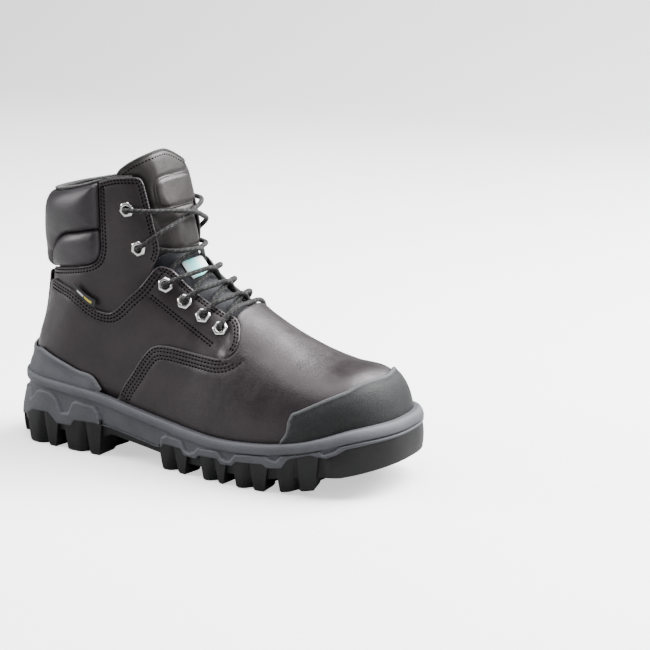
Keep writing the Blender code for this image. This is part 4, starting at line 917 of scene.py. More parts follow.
def outsole():
    """The black rubber sole with its toe bumper, side lugs and middle blocks."""
    parts = Parts()
    rows = [ring_points(lambda at: foot_height(at) + 1.2, 7.0),
            ring_points(lambda at: foot_height(at) + 0.6, None, -1.2)]
    bumper = smoothstep(222, 230, RING_X)
    for k in range(7):
        t = k / 6
        height = lambda at, t=t: (foot_height(at) - 0.3) * (1 - t) + (tread_height(at) + 0.8) * t
        bulge = 0.9 * math.sin(math.pi * t)
        rows.append(ring_points(height, None, -1.9 + bumper * (1.7 + bulge) - 0.5 * t * (1 - bumper)))
    rows.append(ring_points(lambda at: tread_height(at) + 0.2, None, -2.6 + bumper))
    rows.append(ring_points(tread_height, None, -3.6 + bumper))
    parts.add(np.concatenate(rows), [f[::-1] for f in stacked_rings(len(rows))])
    for lug in SIDE_LUGS:
        for side, _ in SIDES:
            side_lug(parts, *lug, side)
    for x_from, x_to, lean in MIDDLE_ROWS:
        for share_from, share_to in MIDDLE_SHARES:
            middle_block(parts, x_from, x_to, share_from, share_to, lean)
    return parts.build("outsole_tread", BLACK_RUBBER, smooth_angle=35)


def ring_run(x_from, x_to, side, count):
    """Ring positions and outward directions between two x values on one side of the sole."""
    chosen = np.nonzero((RING_AT[:, 1] * side > 0))[0]
    wall = RING_AT[chosen] + RING_OUT[chosen] * WALL_OUT
    order = np.argsort(wall[:, 0])
    want = np.linspace(x_from, x_to, count)
    pick = lambda values: np.interp(want, wall[order, 0], values[chosen][order])
    at = np.stack([pick(RING_AT[:, 0]), pick(RING_AT[:, 1])], 1)
    out = np.stack([pick(RING_OUT[:, 0]), pick(RING_OUT[:, 1])], 1)
    return at, out / np.linalg.norm(out, axis=1, keepdims=True), want


def side_lug(parts, x_from, x_to, flute, inwards, side):
    """One lug at the edge of the tread: it spreads towards the wall and has a flute down its outer face."""
    count = 25
    levels = []
    steps = ((-0.15, 0.0, 0.4), (0.05, 0.0, -0.1), (0.5, 0.4, -0.2), (0.93, 0.9, -0.5), (1.0, 1.7, -1.4))
    for t, narrow, pull in steps:
        low, high = x_from - 1.6 * (1 - t) + narrow - 0.4, x_to + 1.6 * (1 - t) - narrow + 0.4
        at, out, x = ring_run(low, high, side, count)
        top, bottom = foot_height(x) - 0.2, ground_height(x)
        z = top + (bottom - top) * t
        reach = wall_reach(x, spline(FEATHER, x) - z) + pull
        if flute is not None:
            width = 0.7 + 2.3 * max(t, 0)
            reach = reach - (1.2 + 4.0 * max(t, 0)) * np.exp(-(((x - flute) / width) ** 2))
        outer = at + out * reach[:, None]
        inner = at - out * (inwards - WALL_OUT - 1.5 * narrow)
        loop = np.vstack([np.c_[outer, z], np.c_[inner[::-1], z[::-1]]])
        levels.append(loop)
    n = 2 * count
    faces = grid_faces(len(levels), n, True)
    for start in (0, (len(levels) - 1) * n):
        faces += [(start + k, start + k + 1, start + n - k - 2, start + n - k - 1) for k in range(count - 1)]
    parts.add(np.concatenate(levels), faces)


def middle_block(parts, x_from, x_to, share_from, share_to, lean):
    """A block in the middle of the tread, between two shares of the width, with leaning ends."""
    lateral, medial = ring_run(x_from, x_to, -1, 2)[0].mean(0)[1], ring_run(x_from, x_to, 1, 2)[0].mean(0)[1]
    centre, half = (lateral + medial) / 2, (medial - lateral) / 2
    y_a, y_b = centre + 2 * half * share_from, centre + 2 * half * share_to
    tilt = lean if share_from >= 0 else -lean
    corners = np.array([(x_from + tilt, y_a), (x_from, y_b), (x_to, y_b), (x_to + tilt, y_a)])
    if share_from < 0:
        corners = np.array([(x_from, y_a), (x_from - tilt, y_b), (x_to - tilt, y_b), (x_to, y_a)])
    middle = corners.mean(0)
    levels = []
    for t, shrink in ((-0.2, -0.6), (0.85, 0.2), (1.0, 1.0)):
        ring = middle + (corners - middle) * (1 - shrink / 10)
        top, bottom = tread_height(ring[:, 0]), ground_height(ring[:, 0])
        levels.append(np.c_[ring, top + (bottom - top) * t])
    faces = grid_faces(len(levels), 4, True) + [(3, 2, 1, 0), (8, 9, 10, 11)]
    parts.add(np.concatenate(levels), faces)


# ---------------------------------------------------------------- outlines of the upper, in the side view
QUARTER_TOP = ((-5.7, 119.5), (3.6, 118.1), (16.8, 114.7), (25.0, 110.2), (33.1, 105.1), (41.0, 102.7),
               (47.4, 102.7), (52.9, 105.9), (60.7, 113.4), (71.8, 123.6), (80.8, 136.4))
FACING_FRONT = ((80.8, 136.4), (84.1, 138.0), (87.8, 137.0), (91.7, 135.4), (95.1, 132.7), (100.2, 127.7),
                (107.7, 122.1), (117.5, 116.3), (126.8, 111.4), (134.3, 107.5), (140.4, 104.0))
FACING_ROW = ((74.3, 120.0), (87.4, 111.2), (104.1, 101.9), (121.3, 93.1), (131.0, 88.4))
WING_EDGE = ((140.4, 104.0), (144.7, 99.8), (147.5, 95.0), (149.3, 90.5), (149.3, 85.6), (145.7, 82.6),
             (141.1, 81.5), (129.1, 82.2), (116.5, 83.5), (95.5, 85.2), (88.9, 84.8), (83.1, 82.4),
             (79.8, 79.3), (67.2, 62.2), (59.4, 51.2), (55.7, 43.9))
FLAP_FRONT = ((67.4, 198.9), (72.1, 198.1), (73.6, 195.7), (75.8, 189.0), (78.6, 178.2), (81.5, 166.7),
              (83.8, 156.4), (84.4, 149.3), (83.2, 143.7), (80.3, 138.0))
FLAP_TOP = ((41.6, 194.2), (54.2, 197.7), (62.0, 198.6))
SHAFT_UNDER = ((75.5, 124.5), (65.0, 110.0), (56.0, 100.0), (49.0, 95.0), (40.0, 95.0), (31.0, 97.5),
               (14.0, 107.0), (-5.0, 112.0))
COLLAR_SPLIT = ((39.2, 160.6), (32.5, 159.6), (23.9, 157.6), (7.3, 153.5), (0.7, 149.5), (-5.1, 143.2),
                (-9.5, 136.5))
COLLAR_FOOT = ((-9.5, 127.0), (12.1, 130.8), (25.0, 133.3), (34.2, 136.4), (38.6, 140.4), (40.6, 146.3))
COLLAR_FRONT = ((41.0, 146.3), (41.0, 158.0), (41.0, 172.0), (41.0, 184.0), (41.0, 194.1))
COLLAR_TOP = ((30.0, 190.3), (16.0, 186.6), (1.8, 183.6), (-7.0, 182.3))
GUARD_EDGE = ((192.2, 36.2), (196.0, 41.8), (197.8, 50.3), (200.2, 54.0), (203.4, 55.3), (216.0, 60.7),
              (229.2, 66.3))
GUARD_RIDGE = 0.099
CLIP_EDGE = ((41.0, 47.8), (38.5, 50.2), (36.5, 53.2), (34.4, 55.1), (19.7, 59.0), (7.8, 63.2), (-12.8, 69.4))
CLIP_BACK = 0.676
UPPER_EYELETS = ((63.1, 176.5), (70.9, 149.8))
LOWER_EYELETS = ((89.7, 125.6), (104.6, 115.2), (119.7, 107.1), (133.6, 99.9))
EYELET_HOLE = 3.6
RIM_FOOT = height_of(FEATHER, -6.8)


VAMP_SEAMS, ANKLE_SEAMS, TONGUE_SEAMS = Parts(), Parts(), Parts()


# ---------------------------------------------------------------- the sole's parts
def sole():
    fit(midsole(), flex_toe, "midsole")
    fit(outsole(), flex_toe, "outsole")
    plate = inner_sheet("plate_visual", 0.8, 1.8, -4.4, STEEL)
    fit(plate, flex_toe, "puncture_plate")
    board_sheet = inner_sheet("board_visual", 2.2, 3.9, -3.8, FIBRE_BOARD)
    fit(board_sheet, flex_toe, "insole_board")
    footbed = inner_sheet("footbed_visual", 4.3, 8.3, -5.8, FOOTBED_CLOTH)
    fit(footbed, flex_toe, "footbed")


def inner_sheet(name, low, high, gap, mat):
    """A sheet on the midsole floor with rounded edges. The thick footbed's edge also cups up a little."""
    cup = 1.6 if high - low > 3 else 0.0
    height = height_of(FLOOR, low)
    line = np.vstack([level_line(-1, height, 90), level_line(1, height, 90)[-2:0:-1]])
    base = surface(line[:, 0], line[:, 1], gap)[:, :2]
    count = 200
    base = evenly(np.vstack([base, base[:1]]), count + 1)[:-1]
    x_mid = np.clip(base[:, 0], base[:, 0].min() + 30, base[:, 0].max() - 30)
    middle = np.c_[x_mid, np.full(count, base[:, 1].mean())]
    pulls = ((0.02, low), (0.0, low + 0.3), (0.0, high - 0.6 + cup), (0.012, high - 0.1 + cup),
             (0.04, high + cup), (0.1, high + 0.6 * cup), (0.2, high + 0.2 * cup), (0.4, high), (0.7, high))
    rows = []
    for pull, rise in pulls:
        xy = base + (middle - base) * pull
        rows.append(np.c_[xy, spline(FLOOR, xy[:, 0]) + rise])
    faces = [f[::-1] for f in grid_faces(len(rows), count, True) + across_caps(count, 0)]
    faces += across_caps(count, (len(rows) - 1) * count)
    points = np.concatenate(rows)
    return add_mesh(name, points, faces, mat, {"wear_and_highlight": np.zeros(len(points))})


# ---------------------------------------------------------------- leather panels
def circle_on(s, phi, radius, sides=28):
    """A round hole in (s, phi) with this radius on the surface."""
    step = 1e-3
    here = surface(s, phi)
    ds, dp = (surface(s + step, phi) - here) / step, (surface(s, phi + step) - here) / step
    e1 = ds / np.linalg.norm(ds)
    e2 = np.cross(normal_at(s, phi), e1)
    basis = np.stack([ds, dp], 1)
    turns = np.linspace(0, 2 * math.pi, sides + 1)[:-1]
    rim = [radius * (math.cos(a) * e1 + math.sin(a) * e2) for a in turns]
    return np.array([np.linalg.lstsq(basis, r, rcond=None)[0] for r in rim]) + (s, phi)


def swell(x, y, z, size, height):
    """Broad, soft unevenness of the leather."""
    return height * (np.sin(x / size + 1.3 * np.sin(y / size)) + np.sin(z / size * 1.2 + x / size * 0.5)) / 2


def soft(s, phi, base, depth):
    """The leather's unevenness as a panel's relief, which fades out at the panel's edge."""
    return swell(*base.T, 11.0, 0.22) * smoothstep(1.5, 6, depth)


def run_of(line, share_from=0.0, share_to=1.0):
    """A part of a run of (s, phi) pairs."""
    count = len(line)
    return line[int(share_from * count):max(int(share_to * count), 2)]


# The vamp's rows of stitches, as (distance from the wing's edge, share of the run that is hidden in front)
WING_ROWS = ((1.9, 0.245), (4.1, 0.225), (6.7, 0.205), (8.9, 0.185))


def vamp():
    """The front of the upper, with wings that run back over the quarters and four rows of stitches."""
    wing = trace(WING_EDGE, -1, 90)
    low = level_line(-1, RIM_FOOT, 60, 0.0, wing[-1][0] + 0.005)
    throat = np.c_[np.full(14, wing[0][0] + 0.004), np.linspace(wing[0][1], -wing[0][1], 16)[1:-1]]
    outline = joined(low, wing[::-1], throat, mirrored(wing), mirrored(low)[::-1])
    rows = [run_of(inset(edge, distance, outline), hidden, 0.985)
            for edge in (wing, mirrored(wing)) for distance, hidden in WING_ROWS]
    obj = panel("vamp_leather", outline, LEVEL_3, BLACK_LEATHER, 2.5, (), rows, soft, 1.0, 0.12)
    for row in rows:
        sew(VAMP_SEAMS, row, LEVEL_3[1] - STITCH_SUNK)
    fit(obj, flex_toe, "vamp")


FACING_LAP = ((140.4, 104.0), (144.7, 99.8), (147.5, 95.0), (149.0, 90.5), (148.4, 86.2), (145.5, 83.4))
LAP_UNDER = ((145.5, 83.4), (144.0, 80.6), (140.0, 77.5), (130.0, 77.0), (117.0, 77.5), (97.0, 79.0),
             (90.0, 78.0), (85.0, 74.0), (73.0, 58.0), (66.0, 49.0))
LAP_RISE = 3.1               # the facing's front corner rises over the vamp by this much


def quarter(side, word):
    """The back of the upper. Its facing laps over the vamp, and the vamp's wing laps over it below."""
    top, front = trace(QUARTER_TOP, side, 60), trace(FACING_FRONT, side, 50)
    lap, under = trace(FACING_LAP, side, 30), trace(LAP_UNDER, side, 60)
    lap_over = shifted(lap, 1.0) if shifted(lap, 1.0)[15, 0] < lap[15, 0] else shifted(lap, -1.0)
    lap_over = lap + (lap_over - lap) * np.linspace(0.2, 1, 30)[:, None]
    low = level_line(side, RIM_FOOT, 50, under[-1][0])
    back = np.c_[np.linspace(low[-1][0], top[0][0], 24), np.full(24, side * 0.996)]
    low = low[np.abs(low[:, 1]) < 0.99]
    outline = joined(back, top, front, lap_over, under, low)
    holes = [circle_on(*locate(x, z, side), EYELET_HOLE) for x, z in LOWER_EYELETS]
    rows = [inset(top, d, outline) for d in (1.8, 4.0, 6.4)]
    facing = np.vstack([front, lap_over[1:]])
    rows += [run_of(inset(facing, d, outline), 0.02, 0.99) for d in (1.7, 3.6)]
    beside = trace(FACING_ROW, side, 60)[5:]
    rows += [beside, shifted(resampled(beside, 1.2), 2.3)]
    rows = [r[inside(flat(r), flat(outline))] for r in rows]
    lap_line = surface(*lap[2:-2].T)
    lift = lambda s, phi: LAP_RISE * smoothstep(10.0, 2.6, distance_to(surface(s, phi), lap_line))
    obj = panel(f"quarter_leather_{word}", outline, LEVEL_2, BLACK_LEATHER, 2.5, holes, rows, soft, 0.9,
                0.1, lift)
    for row in rows:
        sew(ANKLE_SEAMS, row, LEVEL_2[1] - STITCH_SUNK + lift(*row.T))
    fit(obj, flex_ankle, f"{word}_quarter")


def shaft(side, word):
    """The panel over the ankle, with the eyelet flap in front."""
    foot, front = trace(COLLAR_FOOT, side, 40), trace(COLLAR_FRONT, side, 30)
    top, flap = trace(FLAP_TOP, side, 14), trace(FLAP_FRONT, side, 60)
    under = trace(SHAFT_UNDER, side, 60)
    back = np.c_[np.linspace(under[-1][0], foot[0][0] - 0.004, 6), np.full(6, side * 0.996)]
    outline = joined(back, foot, front, top, flap, under)
    holes = [circle_on(*locate(x, z, side), EYELET_HOLE) for x, z in UPPER_EYELETS]
    collar = np.vstack([foot, front[1:]])
    rows = [run_of(inset(collar, d, outline), 0.0, 0.985) for d in (1.8, 4.1)]
    rows += [inset(np.vstack([top, flap[1:]]), d, outline) for d in (1.8, 3.9)]
    rows = [r[inside(flat(r), flat(outline))] for r in rows]
    obj = panel(f"shaft_leather_{word}", outline, LEVEL_1, BLACK_LEATHER, 2.5, holes, rows, soft, 0.8, 0.1)
    for row in rows:
        sew(ANKLE_SEAMS, row, LEVEL_1[1] - STITCH_SUNK)
    fit(obj, flex_ankle, f"{word}_shaft")


def toe_guard():
    """Rubber over the toe, up to a thin raised bead."""
    edge = trace(GUARD_EDGE, -1, 40)
    t = np.linspace(0, 1, 20)[1:]
    crown = np.c_[edge[-1][0] + (GUARD_RIDGE - edge[-1][0]) * (2 * t - t * t), edge[-1][1] * (1 - t)]
    low = level_line(-1, height_of(FEATHER, -2.4), 70, 0.0, edge[0][0])
    top = np.vstack([edge, crown, mirrored(crown)[::-1], mirrored(edge)[::-1]])
    outline = joined(low, top, mirrored(low)[::-1])
    rim = surface(*top.T)

    def bead(s, phi, base, depth):
        near = distance_to(base, rim)
        return groove(near - 1.3, 0.4, 0.8) - groove(near - 3.2, 0.3, 0.9)

    level = (LEVEL_3[1] + 0.15, LEVEL_4[1] - 0.75)
    obj = panel("toe_guard_rubber", outline, level, GUARD_RUBBER, 2.3, (), (), bead, 1.0)
    # The bead along the guard's top is painted paler: partly wear, partly a painted highlight where it
    # catches light.
    values = np.zeros(len(obj.data.vertices))
    half = len(values) // 2
    points = np.array([v.co for v in obj.data.vertices])[:half] / MM
    near = distance_to(points, surface(*top.T, LEVEL_4[1]))
    values[:half] = 0.9 * groove(near - 1.0, 1.0, 1.1)
    obj.data.attributes["wear_and_highlight"].data.foreach_set("value", values.astype(np.float32))
    fit(obj, riding("toe"), "toe_guard")


def round_heel(edge, height):
    """The outline of a band round the heel, from its top line on the outer side."""
    low = level_line(-1, height, 60, edge[0][0])
    low[:, 1] += 2
    high = np.array(edge) + (0, 2)
    other = lambda line: np.c_[line[:, 0], 2 - line[:, 1]]
    return joined(low, other(low)[::-1], other(high), high[::-1])


def heel_clip():
    """The grey band that climbs from the rim round the heel."""
    edge = trace(CLIP_EDGE, -1, 50)
    s, phi = edge[-1]
    t = np.linspace(0, 1, 16)[1:, None]
    edge = np.vstack([edge, np.hstack([s + (CLIP_BACK - s) * t, phi - (1 + phi) * t])])
    outline = round_heel(edge, height_of(FEATHER, -2.4))
    high = np.array(edge) + (0, 2)
    rim = surface(*np.vstack([high, np.c_[high[:, 0], 2 - high[:, 1]][::-1]]).T)

    def bead(s, phi, base, depth):
        near = distance_to(base, rim)
        above = base[:, 2] - spline(FEATHER, base[:, 0])
        flare = 3.2 * smoothstep(12.0, 0.0, above) * smoothstep(0.0, 8.0, near)
        return groove(near - 1.6, 0.5, 0.8) - groove(near - 3.4, 0.2, 0.8) + flare

    obj = panel("heel_clip_rubber", outline, LEVEL_3, GREY_RUBBER, 2.5, (), (), bead, 1.0)
    fit(obj, riding("foot"), "heel_clip")


BACKSTAY = (2.3, 3.6)


def backstay():
    """The strip over the seam at the back, wider towards its top."""
    width = np.array(((CLIP_BACK + 0.002, 0.062), (0.70, 0.064), (0.725, 0.068), (0.75, 0.074),
                      (0.766, 0.078)))
    s = np.linspace(width[0, 0], width[-1, 0], 24)
    half = np.interp(s, *width.T)
    outline = joined(np.c_[s, 1 - half], np.c_[s, 1 + half][::-1])
    rows = [inset(np.c_[s, 1 + sign * half], 1.8, outline) for sign in (-1, 1)]
    obj = panel("backstay_leather", outline, BACKSTAY, BLACK_LEATHER, 2.3, (), rows, soft)
    for row in rows:
        sew(ANKLE_SEAMS, row, BACKSTAY[1] - STITCH_SUNK)
    fit(obj, flex_ankle, "backstay")


# ---------------------------------------------------------------- soft padded pieces
AIR_STEPS = 20


def inflate(obj, held, pressure, cap):
    """Puffs a soft shell up with air pressure. The held points stay, and no point moves beyond the cap."""
    group = obj.vertex_groups.new(name="held")
    group.add([int(k) for k in held], 1.0, "REPLACE")
    before = np.array([v.co for v in obj.data.vertices])
    modifier = obj.modifiers.new("air", "CLOTH")
    cloth = modifier.settings
    cloth.quality = 5
    cloth.mass = 0.2
    cloth.tension_stiffness = cloth.compression_stiffness = 14
    cloth.shear_stiffness = 6
    cloth.bending_stiffness = 0.4
    cloth.vertex_group_mass = "held"
    cloth.use_pressure = True
    cloth.uniform_pressure_force = pressure
    cloth.effector_weights.gravity = 0
    modifier.point_cache.frame_end = AIR_STEPS
    for step in range(1, AIR_STEPS + 1):
        bpy.context.scene.frame_set(step)
    puffed = obj.evaluated_get(bpy.context.evaluated_depsgraph_get())
    after = np.array([v.co for v in puffed.data.vertices])
    move = after - before
    length = np.linalg.norm(move, axis=1, keepdims=True)
    move *= np.tanh(length / (cap * MM)) * cap * MM / np.maximum(length, 1e-9)
    obj.modifiers.remove(modifier)
    obj.vertex_groups.remove(group)
    obj.data.vertices.foreach_set("co", (before + move).ravel())
    obj.data.update()
    bpy.context.scene.frame_set(1)


def smooth_once(obj):
    """One subdivision of the final soft mesh."""
    modifier = obj.modifiers.new("smooth", "SUBSURF")
    modifier.levels = modifier.render_levels = 1
    finer = bpy.data.meshes.new_from_object(obj.evaluated_get(bpy.context.evaluated_depsgraph_get()))
    obj.modifiers.remove(modifier)
    obj.data = finer
    obj.data.shade_smooth()


def soft_panel(name, outline, under, over, mat, pressure, cap, spacing=3.0, edge=5.0, stitched=()):
    """A padded piece: a thin shell between two functions of (s, phi, depth from the edge), then inflated."""
    pattern, faces, border = cut_pattern(outline, spacing, (), stitched)
    s, phi = pattern.T
    depth = distance_to(surface(s, phi), surface(border[:, 0], border[:, 1]), True)
    low, high = under(s, phi, depth), over(s, phi, depth)
    # Paler band along the edge: partly wear, partly a painted highlight.
    obj = thick(name, pattern, faces, low, high, mat, np.exp(-((depth / 0.9) ** 2)))
    count = len(s)
    if pressure:
        held = np.concatenate([np.nonzero(depth < edge)[0], np.arange(count, 2 * count)])
        inflate(obj, held, pressure, cap)
    smooth_once(obj)
    return obj


PAD_GAP = 0.0012              # the gap between the two pads, as a share of s


def puff(depth, height, reach):
    """A round shoulder that rises to the height over a reach from the edge."""
    t = np.clip(depth / reach, 0, 1)
    return height * np.sqrt(t * (2 - t))


def pad_base(s, phi, depth):
    return np.full(len(s), -1.6)


def lower_pads():
    for side, word in SIDES:
        foot = trace(((-7.8, 127.6), *COLLAR_FOOT[1:-1]), side, 40) + (PAD_GAP, 0)
        split = trace((*COLLAR_SPLIT[:-1], (-7.4, 139.0)), side, 40) - (PAD_GAP, 0)
        front = trace(((39.9, 146.5), (40.1, 152.0), (39.6, 158.0)), side, 10)
        outline = joined(foot, front, split)
        rise = lambda s, phi, depth: -0.4 + puff(depth, 4.4, 8.5) + 0.12 * np.sin(420 * s) * (depth > 1)
        obj = soft_panel(f"lower_pad_{word}", outline, pad_base, rise, PAD_LEATHER, 5.0, 1.6, 2.8, 0.8)
        fit(obj, flex_ankle, f"collar_pad_{word}")


def upper_pad():
    """One thick pad from the outer side round the back to the inner side."""
    halves = []
    for side in (-1, 1):
        foot = np.array([locate(*COLLAR_FOOT[0], side)])
        split = trace(COLLAR_SPLIT[::-1], side, 40) + (PAD_GAP, 0)
        front = trace(((40.0, 163.0), (40.0, 173.0), (40.0, 184.0), (40.0, 193.3)), side, 20)
        top = trace(COLLAR_TOP, side, 24)
        halves.append(np.vstack([foot + (PAD_GAP, 0), split, front, top]))
    outer = halves[0] + (0, 2)
    back_top = [((outer[-1][0] + halves[1][-1][0]) / 2, 1.0)]
    outline = joined(halves[1], back_top, outer[::-1])
    rise = lambda s, phi, depth: -0.3 + puff(depth, 7.6, 15.0)
    obj = soft_panel("upper_pad", outline, pad_base, rise, PAD_LEATHER, 5.0, 1.8, 2.8, 0.8)
    fit(obj, flex_ankle, "collar_pad_upper")


# Half of the tongue's edge as (s, phi), from the middle of its top to the middle of its foot
TONGUE_EDGE = ((0.990, 0.0), (0.989, 0.10), (0.981, 0.204), (0.968, 0.295), (0.948, 0.364), (0.92, 0.385),
               (0.84, 0.375), (0.76, 0.345), (0.712, 0.28), (0.694, 0.16), (0.684, 0.0))
EDGE_POINTS, BOUND_POINTS = 110, 84      # the binding leaves out the foot of the edge
PLATE_MIDDLE_S, PLATE_HALF_S, PLATE_HALF_PHI = 0.872, 0.046, 0.16
TONGUE_PROUD, TONGUE_SHOULDER = 0.5, -7.0
TONGUE_FALL = 0.042           # the top edge drops by this share of s towards the medial side


def tongue_face(s, phi):
    """The tongue's face: proud in the middle, falling to a shoulder under the flaps."""
    low = TONGUE_SHOULDER + 4.0 * smoothstep(0.90, 0.97, s)
    wide = smoothstep(0.78, 0.87, s)
    across = (np.abs(phi) - 0.05 - 0.06 * wide) / (0.115 + 0.02 * wide)
    return TONGUE_PROUD + (low - TONGUE_PROUD) * smoothstep(0, 1, across)


def rounded_line(points, count):
    """A smooth run through a few (s, phi) pairs."""
    points = np.asarray(points, float)
    length = arc_length(flat(points))
    return spline(np.c_[length, points], np.linspace(0, length[-1], count))


def both_sides(line):
    """A closed outline from its half on the medial side."""
    return joined(line, mirrored(line)[::-1])


def tongue_edge(line):
    """The tongue's edge with its top falling away on the medial side."""
    s, phi = line.T
    return np.c_[s - TONGUE_FALL * smoothstep(-0.04, 0.19, phi) * smoothstep(0.9, 0.975, s), phi]


def superround(value):
    """Bends a circle's cosine or sine into that of a rounded rectangle."""
    return math.copysign(abs(value) ** 0.45, value)


def tongue():
    """The padded tongue with a plain pressed plate, a bound edge and a row of stitches along it."""
    edge = rounded_line(TONGUE_EDGE, EDGE_POINTS)
    outline = tongue_edge(both_sides(edge))
    plate = np.array([(PLATE_MIDDLE_S + PLATE_HALF_S * superround(math.cos(a)),
                       PLATE_HALF_PHI * superround(math.sin(a)))
                      for a in np.linspace(0, 2 * math.pi, 121)[:-1]])
    under = lambda s, phi, depth: tongue_face(s, phi) - 2.2 - puff(depth, 4.2, 9.0)
    over = lambda s, phi, depth: tongue_face(s, phi) - 1.4 + puff(depth, 1.4, 6.0)
    obj = soft_panel("tongue_leather", outline, under, over, TONGUE_LEATHER, 4.0, 1.5, 2.8, 2.5, (plate,))
    press_shape(obj, plate)
    fit(obj, riding("tongue"), "tongue_pad")
    bound = edge[:BOUND_POINTS]
    run = tongue_edge(np.vstack([bound[::-1], mirrored(bound[1:])]))
    path = surface(*run.T, tongue_face(*run.T) - 1.5)
    tape = Parts()
    tube(tape, resample_path(path, 1.0), 1.25, 12)
    binding = tape.build("tongue_binding", TAPE)
    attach(binding, "tongue")
    for line in (bound, mirrored(bound)):
        row = inset(tongue_edge(line), 3.2, outline)
        sew(TONGUE_SEAMS, row, tongue_face(*row.T) - 0.15)
    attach(TONGUE_SEAMS.build("tongue_seams", THREAD), "tongue")


def press_shape(obj, line):
    """Presses a plain rounded shape into the tongue's face: its middle stays proud and its outline sinks."""
    mesh = obj.data
    points = np.array([v.co for v in mesh.vertices]) / MM
    normals = np.array([v.normal for v in mesh.vertices])
    loop = surface(*line.T, tongue_face(*line.T))
    near = distance_to(points, loop, True)
    front = smoothstep(0.1, 0.5, normals @ np.array([0.95, 0.0, 0.3]))
    within = inside(points[:, [1, 2]], loop[:, [1, 2]])
    step = np.where(within, smoothstep(0.0, 1.6, near), 0.0)
    points -= normals * ((0.75 * groove(near - 0.9, 1.0, 0.8) - 0.45 * step) * front)[:, None]
    mesh.vertices.foreach_set("co", (points * MM).ravel())
    mesh.update()


# ---------------------------------------------------------------- lining and lower tongue
# Half of the lining's upper edge as (s, phi), from the throat up the front and round to the back
LINING_TOP = ((0.385, 0.0), (0.385, 0.09), (0.388, 0.19), (0.42, 0.262), (0.50, 0.245), (0.58, 0.235),
              (0.65, 0.31), (0.74, 0.345), (0.85, 0.375), (0.942, 0.39), (0.946, 0.44), (0.934, 0.52),
              (0.928, 0.60), (0.926, 0.765), (0.928, 0.88), (0.93, 1.0))


def lining():
    """One fabric sheet inside the upper, with broad ripples."""
    columns, rows = 110, 40
    halves = []
    for side in (1, -1):
        high = unflat(evenly(flat([(s, side * phi) for s, phi in LINING_TOP]), columns))
        low = unflat(evenly(flat(level_line(side, RIM_FOOT, 80, 0.385)), columns))
        low[-1, 1] = high[-1, 1] = side
        t = (np.arange(rows + 1) / rows)[:, None, None]
        grid = low[None] * (1 - t) + high[None] * t
        if side < 0:
            grid[..., 1] += 2
            grid = grid[:, ::-1][:, 1:]
        halves.append(grid)
    grid = np.concatenate(halves, axis=1)
    pattern = grid.reshape(-1, 2)
    faces = np.array(grid_faces(rows + 1, grid.shape[1]))
    base = surface(*pattern.T)
    ripple = swell(*base.T, 9.0, 0.3)
    obj = thick("lining_fabric", pattern, faces, -4.2 + ripple, -2.9 + ripple, LINING_CLOTH,
                np.zeros(len(pattern)))
    fit(obj, flex_ankle, "lining")


GUSSET_EDGE = ((0.678, 0.0), (0.684, 0.12), (0.68, 0.19), (0.62, 0.20), (0.56, 0.205), (0.45, 0.205),
               (0.40, 0.18), (0.398, 0.10), (0.398, 0.0))


def gusset_face(s, phi):
    return -4.2 + 1.9 * (1 - smoothstep(0.03, 0.13, np.abs(phi)))


def gusset():
    """The folded fabric of the lower tongue."""
    outline = both_sides(rounded_line(GUSSET_EDGE, 80))
    folds = lambda s, phi: 0.3 * np.sin(70 * s + 14 * phi) + 0.22 * np.sin(48 * phi - 30 * s)
    under = lambda s, phi, depth: gusset_face(s, phi) - 1.9
    over = lambda s, phi, depth: (gusset_face(s, phi) - 0.5 + puff(depth, 0.5, 4.0)
                                  + folds(s, phi) * (depth > 1))
    obj = soft_panel("gusset_fabric", outline, under, over, NAVY_CLOTH, 2.0, 0.5, 3.0, 2.0)
    fit(obj, flex_ankle, "tongue_gusset")


def paint(obj, name, values):
    """Stores one value for each point of a thick sheet's pattern, for its material."""
    values = np.tile(values, 2).astype(np.float32)
    obj.data.attributes.new(name, "FLOAT", "POINT").data.foreach_set("value", values)


LABEL_S, LABEL_PHI = (0.552, 0.632), (-0.072, 0.066)


def tongue_label():
    count = 22
    s, phi = np.meshgrid(np.linspace(*LABEL_S, count), np.linspace(*LABEL_PHI, count), indexing="ij")
    pattern = np.stack([s.ravel(), phi.ravel()], 1)
    face = gusset_face(*pattern.T)
    label = thick("label_strip", pattern, np.array(grid_faces(count, count)), face + 0.35, face + 0.95,
                  LABEL_PRINT, np.zeros(len(pattern)))
    paint(label, "across", (pattern[:, 1] - LABEL_PHI[0]) / (LABEL_PHI[1] - LABEL_PHI[0]))
    fit(label, flex_ankle, "tongue_label")


TAG_CORNERS = ((19.2, 120.8), (36.9, 110.8), (36.7, 105.5), (19.1, 116.0))


def side_tag():
    """A flat tag sewn in at the ankle seam, slightly wavy."""
    a, b, c, d = [np.array(locate(x, z, -1)) for x, z in TAG_CORNERS]
    u, v = np.meshgrid(np.linspace(0, 1, 26), np.linspace(0, 1, 9), indexing="ij")
    u, v = u.reshape(-1, 1), v.reshape(-1, 1)
    pattern = (a * (1 - u) + b * u) * (1 - v) + (d * (1 - u) + c * u) * v
    lift = 0.25 * np.sin(3 * math.pi * u[:, 0])
    obj = thick("tag_tape", pattern, np.array(grid_faces(26, 9)), 2.5, 3.1 + lift, TAG_PRINT,
                np.zeros(len(pattern)))
    paint(obj, "across", u[:, 0])
    paint(obj, "down", v[:, 0])
    fit(obj, flex_ankle, "side_tag")


DARK_WEAVE = (0.008, 0.008, 0.009)


